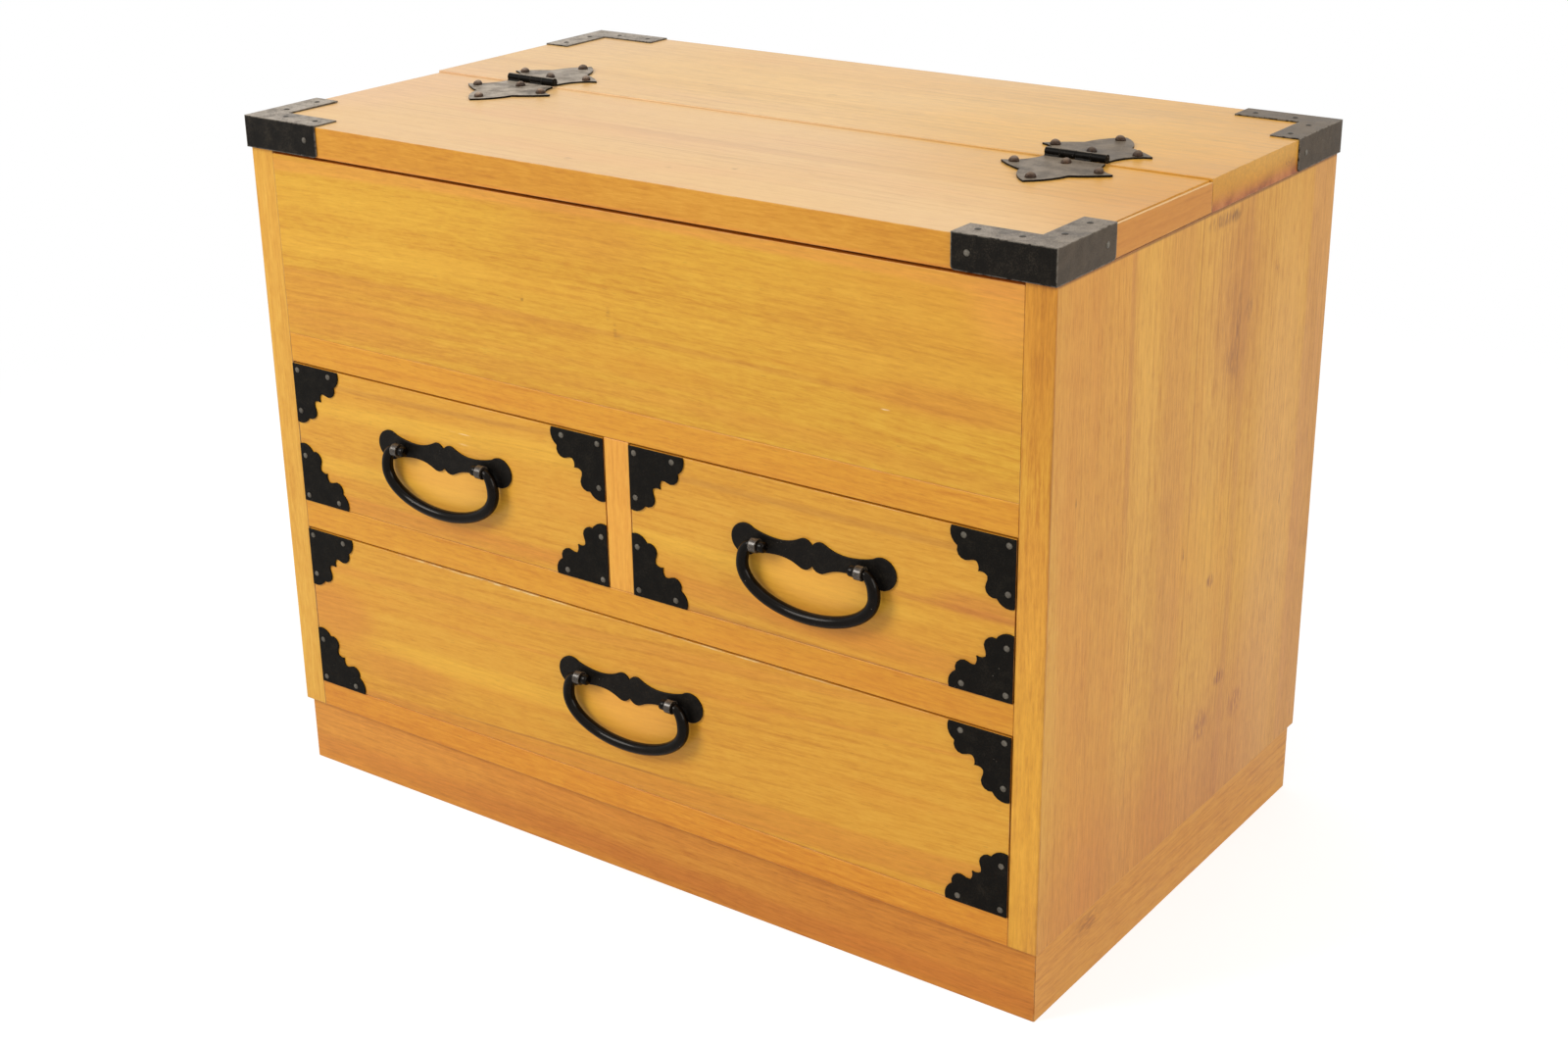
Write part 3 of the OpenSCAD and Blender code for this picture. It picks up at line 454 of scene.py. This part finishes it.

# The lid is two wide boards with the grain across the chest. The rear one is fixed to the
# carcass, and the front one is the flap, with a thin lipping glued along each end. The light
# has bleached the tops. The flap's end grain shows above the lippings, coloured dark. The
# rear board's face at the seam is painted lighter than the tops, painted light against the
# shade in the seam.
lid_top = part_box("lid_rear")[1].z
lid_x = 0.301
flap_y = -0.176
spot_depth = 0.003
run_depth = 0.005
to_floor = (0, 0, -1)
lid_tones = [(188, 142, 84), (204, 158, 98), (216, 173, 112), (222, 182, 122), (227, 190, 134)]
edge_tones = [(172, 97, 22), (194, 123, 32), (211, 144, 42), (223, 160, 56), (236, 180, 80)]
joint_tones = [(170, 126, 76), (186, 142, 92), (198, 154, 104), (206, 164, 114), (214, 174, 124)]
# Painted light: the rear board's face at the seam, made lighter than the tops against the shade in the
# seam.
seam_face_painted_light = [(214, 172, 124), (224, 184, 137), (232, 194, 148), (237, 200, 155), (242, 208, 166)]
lipping_tones = [(165, 95, 30), (183, 114, 39), (196, 129, 50), (204, 139, 58), (212, 150, 71)]
# Dark tones for the flap's end grain where it shows above the lippings.
dark_flap_ends = [(74, 44, 16), (96, 60, 24), (116, 76, 34)]
rear_ends = [(142, 76, 36), (168, 97, 46), (182, 110, 56), (190, 122, 66)]
flap_faces = [(to_front, edge_tones), (to_back, joint_tones), (to_floor, bare_tones)]
rear_faces = [(to_front, seam_face_painted_light), (to_back, edge_tones), (to_floor, bare_tones)]
lipping_faces = [(to_left, lipping_tones), (to_right, lipping_tones)]
lid_veins = [(-0.071, 0.010, 0.8, 0.32, (190, 138, 86), -0.1, 0.4),
             (-0.101, 0.0014, 0.7, 0.35, (176, 124, 70), -0.3, 0.1),
             (-0.045, 0.0012, 0.7, 0.30, (176, 124, 70), 0.0, 0.3),
             (0.062, 0.009, 0.8, 0.28, (192, 140, 84), *everywhere),
             (0.122, 0.008, 0.8, 0.30, (184, 138, 78), -0.1, 0.35),
             (0.150, 0.020, 0.5, 0.35, (206, 156, 84), 0.0, 0.4)]
flap_marks = spots("Z", lid_top, spot_depth,
                   (0.055, -0.121, 0.003, 0.005, 0.7, (146, 104, 60)),
                   (0.020, -0.139, 0.006, 0.004, 0.5, (156, 112, 66)),
                   (-0.045, -0.155, 0.004, 0.003, 0.7, (140, 96, 56)))
chips = spots("Y", flap_y, stain_depth,
              (-0.230, 0.446, 0.008, 0.0012, 0.9, (246, 226, 190)),
              (-0.185, 0.4465, 0.005, 0.0010, 0.8, (246, 226, 190)))
rear_marks = spots("Z", lid_top, spot_depth,
                   (-0.015, 0.080, 0.005, 0.006, 0.5, (170, 126, 70)),
                   (-0.105, 0.065, 0.003, 0.003, 0.5, (170, 126, 70)))
smudges = spots("X", lid_x, stain_depth,
                (0.108, 0.4575, 0.012, 0.004, 0.50, (124, 80, 46)),
                (0.060, 0.450, 0.020, 0.002, 0.50, (130, 84, 50)))
lid_tints = spots("Z", lid_top, tint_depth,
                  (0.340, 0.070, 0.300, 0.26, 0.84, (198, 140, 26)),
                  (0.315, 0.030, 0.120, 0.24, 0.72, (192, 128, 30)),
                  (0.200, 0.080, 0.220, 0.20, 0.55, (206, 152, 60)),
                  (-0.290, -0.040, 0.080, 0.12, 0.40, (216, 168, 124)))
golden = spots("Z", lid_top, tint_depth, (0.0, 0.090, 0.450, 0.13, 0.45, (216, 172, 96)))
# An orange band along the flap's lower front edge, where the shaded line under the lid runs.
lid_lower_edge_band = spots("Y", front_y, run_depth, (0.0, 0.4480, 1.5, 0.004, 0.6, (222, 134, 52)))
lid_rear = wood("lid_rear_wood", "XYZ", lid_tones, 91.0, rear_faces, lid_veins,
                rear_marks + smudges, lid_tints + golden, rear_ends, contrast=1.1)
lid_flap = wood("lid_flap_wood", "XYZ", lid_tones, 96.0, flap_faces, lid_veins,
                flap_marks + chips, lid_tints + lid_lower_edge_band, dark_flap_ends, contrast=0.85)
lipping = wood("flap_lipping_wood", "YZX", lid_tones, 99.0, lipping_faces, contrast=0.7)
dress("lid_rear", lid_rear)
dress("lid_flap", lid_flap)
dress("flap_lippings", lipping)

# The corners of the lid are bound with brackets bent from black sheet iron, held by flat nails.
# Their paint is rubbed along the folds. Their tops carry a brown film, part dust and part
# painted light, paler towards the chest's left and front where the key lamp stands, and their
# right-hand faces carry a brownish painted reflection.
fleck_colour = (150, 142, 130)
rust_colour = (96, 64, 44)
warm_shine = (1.0, 0.93, 0.85, 1)
brown_film = 0.86
painted_light_film = (1.40, 1.48, 1.60)
thin_film = 0.66
film_right = 0.44
film_left = -0.26
# How many times in a metre each of the iron's layers changes.
changes = {"sand": 1700.0, "dents": 120.0, "patch": 40.0, "flecks": 1100.0, "groups of flecks": 55.0,
           "rust": 300.0, "scrapes": 330.0}


def iron(name, skin, rough=0.42, shine=0.15, top_dust_and_painted_light=None, right_face_painted_reflection=None, flat=0.45, rust=0.0,
         edge=(96, 88, 76), rubbed=0.6, grain=1.0, fold=0.0007):
    """Painted or bare iron: a fine gritty skin, shallow hammer marks and wear along its edges.
    The colour for the faces that look up is a film, part dust and part painted light, paler
    towards the chest's left and front where the key lamp stands, and the colour for the faces
    that look right is a painted reflection. flat says how level a face must be to take the top
    film, and fold is the radius of its bent edges."""
    f = Finish(name)
    sand = f.cloud(f.here, changes["sand"], 2.0)
    dents = f.cloud(f.here, changes["dents"], 3.0, 0.55)
    patch = f.cloud(f.here, changes["patch"], 3.0, 0.6)
    tone = f.add(dents, 0.4, f.times(patch, 0.2))
    tone = f.add(sand, 0.4 * grain, f.math("SUBTRACT", tone, 0.2 * (grain - 1)))
    colour = f.tones(f.step(tone, 0.32, 0.72), skin)
    if top_dust_and_painted_light:
        place = f.layer("SeparateXYZ", f.here).outputs
        toward_key_lamp = f.step(f.math("ADD", place["X"], place["Y"]), film_right, film_left)
        film = f.over(toward_key_lamp, seen(top_dust_and_painted_light, brown_film), seen(top_dust_and_painted_light, painted_light_film))
        film = f.over(f.step(tone, 0.62, 0.34), film, seen(top_dust_and_painted_light, thin_film))
        lies = f.times(f.towards(to_top, flat, 1.0), f.step(patch, 0.0, 0.5))
        colour = f.over(f.times(lies, 0.95), colour, film)
    if right_face_painted_reflection:
        film = f.over(f.step(tone, 0.3, 0.7), seen(right_face_painted_reflection, 0.85), seen(right_face_painted_reflection, 1.15))
        colour = f.over(f.towards(to_right), colour, film)
    fleck = f.step(f.cloud(f.here, changes["flecks"], 0.0), 0.83, 0.87)
    groups = f.step(f.cloud(f.here, changes["groups of flecks"], 1.0), 0.52, 0.62)
    fleck = f.times(fleck, groups)
    colour = f.over(f.times(fleck, 0.7), colour, seen(fleck_colour))
    if rust:
        bloom = f.step(f.cloud(f.here, changes["rust"], 4.0, 0.65), 0.5, 0.7)
        colour = f.over(f.times(bloom, rust), colour, seen(rust_colour))
    slope, rim = f.rounded(fold)
    scrape = f.times(rim, f.step(f.cloud(f.here, changes["scrapes"], 3.0, 0.6), 0.36, 0.54))
    colour = f.over(f.times(scrape, rubbed), colour, seen(edge))
    height = f.add(dents, 2.2, f.times(sand, 0.35))
    shader = f.surface(colour, f.add(patch, 0.3, rough - 0.15), shine, height, 0.3 * grain, slope)
    shader.inputs["Specular Tint"].default_value = warm_shine
    return f.material


bracket_iron = iron("bracket_iron", [(8, 6, 4), (18, 15, 11), (46, 40, 32)], rough=0.46, shine=0.13,
                    top_dust_and_painted_light=(128, 113, 95), right_face_painted_reflection=(76, 66, 55), edge=(150, 140, 126), rubbed=0.8,
                    grain=1.3, fold=0.0015)
# The flat nail heads are coloured darker on the faces that look up.
tack_iron = iron("tack_iron", [(62, 58, 50), (98, 92, 82), (128, 122, 110)], shine=0.25,
                 top_dust_and_painted_light=(38, 33, 27))
for name in ("bracket_rear_left", "bracket_rear_right", "bracket_front_left", "bracket_front_right"):
    dress(name, bracket_iron)
dress("bracket_rear_nails", tack_iron)
dress("bracket_front_nails", tack_iron)

# Two pointed butterfly hinges of black iron join the flap to the rear board. Their leaves lie
# on the wood, their tops brown-grey, part dust and part painted reflection, and their rolled
# knuckles turn on a pin.
hinge_iron = iron("hinge_iron", [(6, 5, 4), (12, 10, 8), (28, 24, 20)], shine=0.06,
                  top_dust_and_painted_light=(128, 112, 93), flat=0.86, edge=(120, 110, 96), rubbed=0.3)
pin_iron = iron("hinge_pin_iron", [(6, 5, 4), (12, 10, 8), (22, 19, 15)], shine=0.1)
for name in ("hinge_leaf_rear_left", "hinge_leaf_rear_right",
             "hinge_leaf_front_left", "hinge_leaf_front_right"):
    dress(name, hinge_iron)
dress("hinge_pins", pin_iron)

# Each leaf is held by four big nails with domed heads, forged by hand, so that no two heads are
# quite alike. They are bare iron gone brown, with their tops painted paler, painted light.
dome_iron = iron("dome_nail_iron", [(32, 21, 14), (58, 41, 29), (92, 69, 50)], rough=0.5, shine=0.2,
                 top_dust_and_painted_light=(124, 102, 82), rust=0.3, edge=(110, 92, 78), rubbed=0.0)
joints = frame["record"]["behaviour"]["joints"]
pivots = {joint["name"]: joint["pos_m"] for joint in joints if "pos_m" in joint}
hinge_x = 0.212
hinge_y = pivots["flap_hinge"][1]
rear_leaf_top = 0.4699
front_leaf_top = 0.46929
nail_places = {"rear": [(-0.028, 0.024), (0.028, 0.024), (0.0, 0.054), (0.0, 0.0185)],
               "front": [(-0.028, -0.024), (0.028, -0.024), (0.0, -0.054), (0.0, -0.0125)]}
shank_r = 0.0009
shank_len = 0.009
tip_r = 0.6 * shank_r
tip_len = 0.0008
neck_len = 0.00005
dome_r = 0.0036
dome_h = 0.0034
foot_r = 0.90 * dome_r
rim_h = 0.0002
dome_rings = 9
dents_on_each = 4
dent_depths = (0.06, 0.20)
dent_sharpness = 4
dome_heights = (0.90, 1.0)
dome_points = (0.0, 0.35)


def smooth_piece(name, points, faces):
    """Makes a smooth piece from its points and faces."""
    mesh = bpy.data.meshes.new(name)
    mesh.from_pydata(points, [], faces)
    mesh.validate()
    for face in mesh.polygons:
        face.use_smooth = True
    piece = bpy.data.objects.new(name, mesh)
    bpy.context.scene.collection.objects.link(piece)
    return piece


def turned(name, profiles, sides=24):
    """Round pieces in one mesh: each has a middle, its own dents, and (radius, height) rings
    from its lowest point to its top."""
    points, faces = [], []
    for middle, dents, rings in profiles:
        middle = Vector(middle)
        first = len(points)
        points.append(middle + Vector((0, 0, rings[0][1])))
        for r, z in rings[1:-1]:
            for j in range(sides):
                a = 2 * pi * j / sides
                pressed = [depth * max(0.0, cos(a - turn)) ** dent_sharpness for turn, depth in dents]
                wide = r * (1 - sum(pressed))
                points.append(middle + Vector((wide * cos(a), wide * sin(a), z)))
        points.append(middle + Vector((0, 0, rings[-1][1])))
        last = len(points) - 1
        rows = [first + 1 + i * sides for i in range(len(rings) - 2)]
        for j in range(sides):
            k = (j + 1) % sides
            faces.append((first, rows[0] + k, rows[0] + j))
            for row, above in zip(rows, rows[1:]):
                faces.append((row + j, row + k, above + k, above + j))
            faces.append((rows[-1] + j, rows[-1] + k, last))
    return smooth_piece(name, points, faces)


luck = Random(7)
for leaf, body, top in (("rear", "cabinet", rear_leaf_top), ("front", "flap", front_leaf_top)):
    domes = []
    for side in (-1, 1):
        for x, y in nail_places[leaf]:
            dents = [(luck.uniform(0, 2 * pi), luck.uniform(*dent_depths)) for _ in range(dents_on_each)]
            tall = dome_h * luck.uniform(*dome_heights)
            point = luck.uniform(*dome_points)
            rings = [(0, -shank_len), (tip_r, -shank_len), (shank_r, tip_len - shank_len),
                     (shank_r, -neck_len), (foot_r, 0.0), (dome_r, rim_h)]
            for i in range(1, dome_rings):
                share = i / dome_rings
                a = pi / 2 * share
                rise = sin(a) * (1 - point) + share * point
                rings.append((dome_r * cos(a), rim_h + (tall - rim_h) * rise))
            rings.append((0, tall))
            domes.append(((side * hinge_x + x, hinge_y + y, top), dents, rings))
    nails = turned("hinge_" + leaf + "_domes", domes)
    nails.data.materials.append(dome_iron)
    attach(nails, body)
    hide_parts("hinge_" + leaf + "_nails")

# The drawer fronts are thick boards of the best wood, grain across; the boxes behind them are
# bare boards, lapped into the front and nailed. Inside each bail the wood is painted brighter
# and more orange, painted light, with a warm orange band of painted shadow along the bow.
drawer_tones = [(190, 117, 28), (206, 139, 39), (219, 156, 48), (226, 167, 58), (234, 181, 73)]
brown = (170, 104, 44)
painted_warm_shadow = (232, 142, 44)
pale_edge = (236, 208, 146)
scratch = (250, 226, 176)
drawer_veins = {
    "left": [(0.215, 0.008, 0.6, 0.55, reddish, *everywhere),
             (0.240, 0.008, 0.7, 0.40, yellow, -0.4, -0.10),
             (0.283, 0.010, 0.6, 0.40, yellow, *everywhere),
             (0.299, 0.003, 0.8, 0.35, brown, -0.25, -0.05)],
    "right": [(0.222, 0.010, 0.6, 0.40, reddish, *everywhere),
              (0.208, 0.003, 0.7, 0.40, brown, *everywhere),
              (0.256, 0.003, 0.8, 0.55, (186, 108, 44), 0.20, 0.40),
              (0.246, 0.008, 0.7, 0.40, yellow, -0.1, 0.2),
              (0.292, 0.004, 0.8, 0.30, brown, *everywhere)],
    "wide": [(0.073, 0.011, 0.40, 0.52, reddish, *everywhere),
             (0.083, 0.0012, 0.7, 0.55, brown, -0.15, 0.05),
             (0.118, 0.010, 0.6, 0.45, yellow, -0.22, 0.00),
             (0.172, 0.006, 0.8, 0.35, reddish, *everywhere),
             (0.150, 0.002, 0.8, 0.35, reddish, -0.2, 0.3)]}
drawer_marks = {
    "left": spots("Y", front_y, mark_depth,
                  (-0.130, 0.283, 0.012, 0.0006, 0.6, scratch),
                  (-0.127, 0.276, 0.006, 0.0008, 0.5, scratch)),
    "right": [],
    "wide": spots("Y", front_y, spot_depth,
                  (-0.120, 0.1836, 0.120, 0.0012, 0.75, pale_edge),
                  (0.090, 0.1836, 0.120, 0.0008, 0.50, pale_edge))}
# Painted light: the bright patch inside each bail. Painted shadow: the warm orange band just under it.
drawer_tints_and_painted_light = {
    "left": spots("Y", front_y, tint_depth,
                  (-0.145, 0.243, 0.056, 0.030, 0.58, (252, 186, 80)),
                  (-0.140, 0.221, 0.060, 0.012, 0.27, painted_warm_shadow)),
    "right": spots("Y", front_y, tint_depth,
                   (0.255, 0.258, 0.040, 0.010, 0.50, (196, 118, 50)),
                   (0.145, 0.243, 0.056, 0.030, 0.52, (250, 180, 72)),
                   (0.150, 0.221, 0.060, 0.012, 0.27, painted_warm_shadow)),
    "wide": spots("Y", front_y, tint_depth,
                  (0.0033, 0.1185, 0.056, 0.030, 0.56, (252, 178, 76)),
                  (0.0083, 0.0965, 0.060, 0.012, 0.27, painted_warm_shadow),
                  (-0.260, 0.124, 0.050, 0.030, 0.45, (204, 124, 50)),
                  (-0.200, 0.094, 0.070, 0.018, 0.40, (206, 130, 50)))}
for name, seed, slant in (("left", 103.0, 0.02), ("right", 111.0, -0.01), ("wide", 119.0, 0.05)):
    drawer = "drawer_" + name + "_"
    front = wood(drawer + "front_wood", "XZY", drawer_tones, seed, behind,
                 drawer_veins[name], drawer_marks[name], drawer_tints_and_painted_light[name], slant=slant)
    dress(drawer + "front", front)
    for part, lie, shift in (("sides", "YZX", 3.0), ("back", "XZY", 5.0), ("bottom", "XYZ", 7.0)):
        board = wood(drawer + part + "_wood", lie, bare_tones, seed + shift, gloss=bare_gloss, worn=0.0)
        dress(drawer + part, board, board_edge)

# Every drawer corner carries a scalloped fitting of thin sheet iron, painted a flat, gritty
# black and held by three flat-headed nails.
dark_edge = (60, 54, 46)
fitting_iron = iron("fitting_iron", [(5, 4, 3), (12, 10, 7), (32, 28, 22)], rough=0.6, shine=0.1,
                    edge=dark_edge, rubbed=0.35, grain=1.4)
for name in ("left", "right", "wide"):
    dress("drawer_" + name + "_corners", fitting_iron)
    dress("drawer_" + name + "_corner_nails", tack_iron)

# A handle is a shaped plate on the drawer front, two eyes driven through it, and a heavy bail
# that hangs in them. The bail is a forged rod, thickest round its bow, turned in through the
# eyes and finished with a round knob at each end. Plate and bail are painted black.
plate_iron = iron("handle_plate_iron", [(6, 5, 4), (15, 12, 9), (36, 32, 26)], rough=0.5, shine=0.12,
                  edge=dark_edge, rubbed=0.35, grain=1.4)
eye_iron = iron("eye_iron", [(24, 20, 16), (56, 48, 40), (96, 86, 74)], rough=0.26, shine=0.6,
                edge=(150, 138, 122), rubbed=0.5, grain=1.3)
bail_iron = iron("bail_iron", [(6, 4, 2), (10, 7, 5), (22, 16, 12)], rough=0.16, shine=0.12,
                 rubbed=0.0, grain=0.4)
bail_start = 0.0397
bail_half = 0.0466
bail_drop = 0.0374
shoulder_drop = 0.0130
shoulder_steps = 12
bow_steps = 64
rod_thin = 0.0028
rod_thick = 0.0038
pin_thick = 0.0023
edge_ring = 0.0001
knob_thick = 0.0034
knob_start = 0.0343
knob_end = 0.0295
outer_nose = [(0.0, 0.0), (0.0, 0.72), (0.0003, 0.90), (0.0011, 1.0)]
inner_nose = [(-0.0005, 1.0), (-edge_ring, 0.94), (0.0, 0.80)]


def bail_path():
    """The bail's middle line and thickness from its right knob round to its left one."""
    knob = [(knob_end + x, 0, knob_thick * share) for x, share in outer_nose]
    knob += [(knob_start + x, 0, knob_thick * share) for x, share in inner_nose]
    pin = [(x, 0, pin_thick) for x in (knob_start, bail_start - edge_ring, bail_start)]
    shoulder = []
    for i in range(shoulder_steps):
        a = pi / 2 * i / shoulder_steps
        x = bail_start + (bail_half - bail_start) * sin(a)
        z = -shoulder_drop * (1 - cos(a))
        shoulder.append((x, z, rod_thin + (rod_thick - rod_thin) * sin(a)))
    bow = []
    for i in range(bow_steps + 1):
        a = pi * i / bow_steps
        z = -shoulder_drop - (bail_drop - shoulder_drop) * sin(a)
        bow.append((bail_half * cos(a), z, rod_thick))
    right = knob + pin + shoulder
    left = [(-x, z, r) for x, z, r in reversed(right)]
    return right + bow + left


def swept(name, path, place, sides=28):
    """A round rod along a path of (x, z, thickness) that hangs at a place in the X-Z plane and
    closes to a point at both ends."""
    place = Vector(place)
    points = [place + Vector((path[0][0], 0, path[0][1]))]
    for before, (x, z, r), after in zip(path, path[1:], path[2:]):
        way = Vector((after[0] - before[0], 0, after[1] - before[1]))
        if z == 0 and abs(x) < bail_start:
            way = Vector((1, 0, 0))
        way.normalize()
        side = Vector((-way.z, 0, way.x))
        for j in range(sides):
            a = 2 * pi * j / sides
            points.append(place + Vector((x, r * sin(a), z)) + side * (r * cos(a)))
    points.append(place + Vector((path[-1][0], 0, path[-1][1])))
    last = len(points) - 1
    rows = [1 + i * sides for i in range(len(path) - 2)]
    faces = []
    for j in range(sides):
        k = (j + 1) % sides
        faces.append((0, rows[0] + j, rows[0] + k))
        for row, after in zip(rows, rows[1:]):
            faces.append((row + j, after + j, after + k, row + k))
        faces.append((last, rows[-1] + k, rows[-1] + j))
    return smooth_piece(name, points, faces)


for name in ("left", "right", "wide"):
    dress("drawer_" + name + "_handle_plate", plate_iron)
    dress("drawer_" + name + "_eyes", eye_iron)
    bail = swept("bail_" + name, bail_path(), pivots["bail_" + name + "_swing"])
    bail.data.materials.append(bail_iron)
    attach(bail, "bail_" + name)
    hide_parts("drawer_" + name + "_bail")

# The studio: a pale paper floor that runs off into a white room, a big soft lamp from the
# left of the front, a weaker one from the right and one overhead. The camera and shiny things
# see the room white, but it gives the chest only a dim, even light.
ambient = 0.42
room_white = 1.0
world = bpy.data.worlds.new("room")
bpy.context.scene.world = world
world.use_nodes = True
room = world.node_tree


def shown(tree, mirrored):
    """1 for what the camera sees, straight or through glass, and a share of it in a reflection."""
    rays = add_node(tree, "LightPath").outputs
    straight = add_node(tree, "Math", rays["Is Camera Ray"], rays["Is Transmission Ray"],
                        operation="MAXIMUM").outputs[0]
    gloss = add_node(tree, "Math", rays["Is Glossy Ray"], mirrored, operation="MULTIPLY").outputs[0]
    return add_node(tree, "Math", straight, gloss, operation="MAXIMUM").outputs[0]


backdrop = room.nodes["Background"]
backdrop.inputs["Color"].default_value = (1, 1, 1, 1)
level = add_node(room, "MapRange", shown(room, 1.0), 0.0, 1.0, ambient, room_white)
feed(room, level.outputs[0], backdrop.inputs["Strength"])

floor_half = 6.0
fade_start = 0.45
fade_end = 1.3
floor_shine = 0.2
paper_grey = (0.5, 0.5, 0.5, 1)
floor_light = (0.62, 0.62, 0.62, 1)
paper_glow = 0.62
floor_finish = bpy.data.materials.new("floor_paper")
floor_finish.use_nodes = True
paper = floor_finish.node_tree
paper.nodes.clear()
place = add_node(paper, "TexCoord").outputs["Object"]
distance = add_node(paper, "VectorMath", place, operation="LENGTH").outputs[1]
far_off = add_node(paper, "MapRange", distance, fade_start, fade_end, 0.0, 1.0,
                   interpolation_type="SMOOTHSTEP").outputs[0]
shaded = add_node(paper, "BsdfDiffuse", paper_grey).outputs[0]
glow = add_node(paper, "Emission", (1, 1, 1, 1), paper_glow).outputs[0]
near_by = add_node(paper, "AddShader", shaded, glow).outputs[0]
white = add_node(paper, "Emission", (1, 1, 1, 1), room_white).outputs[0]
to_camera = add_node(paper, "MixShader", far_off, near_by, white).outputs[0]
to_chest = add_node(paper, "BsdfDiffuse", floor_light).outputs[0]
both = add_node(paper, "MixShader", shown(paper, floor_shine), to_chest, to_camera).outputs[0]
add_node(paper, "OutputMaterial", both)
corners = [(-floor_half, -floor_half, 0), (floor_half, -floor_half, 0),
           (floor_half, floor_half, 0), (-floor_half, floor_half, 0)]
floor_mesh = bpy.data.meshes.new("floor")
floor_mesh.from_pydata(corners, [], [(0, 1, 2, 3)])
floor_mesh.materials.append(floor_finish)
floor = bpy.data.objects.new("floor", floor_mesh)
bpy.context.scene.collection.objects.link(floor)

chest_middle = Vector((0, 0, 0.25))
for name, place, width, power in (("key", (-1.5, -2.1, 1.9), 1.2, 55.0),
                                  ("fill", (2.5, -0.4, 1.4), 1.6, 37.0),
                                  ("overhead", (0.0, 0.3, 2.6), 2.2, 18.0)):
    lamp = bpy.data.lights.new(name, "AREA")
    lamp.shape = "SQUARE"
    lamp.size = width
    lamp.energy = power
    holder = bpy.data.objects.new(name, lamp)
    holder.location = place
    aim = chest_middle - Vector(place)
    holder.rotation_euler = aim.to_track_quat("-Z", "Y").to_euler()
    bpy.context.scene.collection.objects.link(holder)

bpy.context.scene.view_settings.view_transform = "Standard"
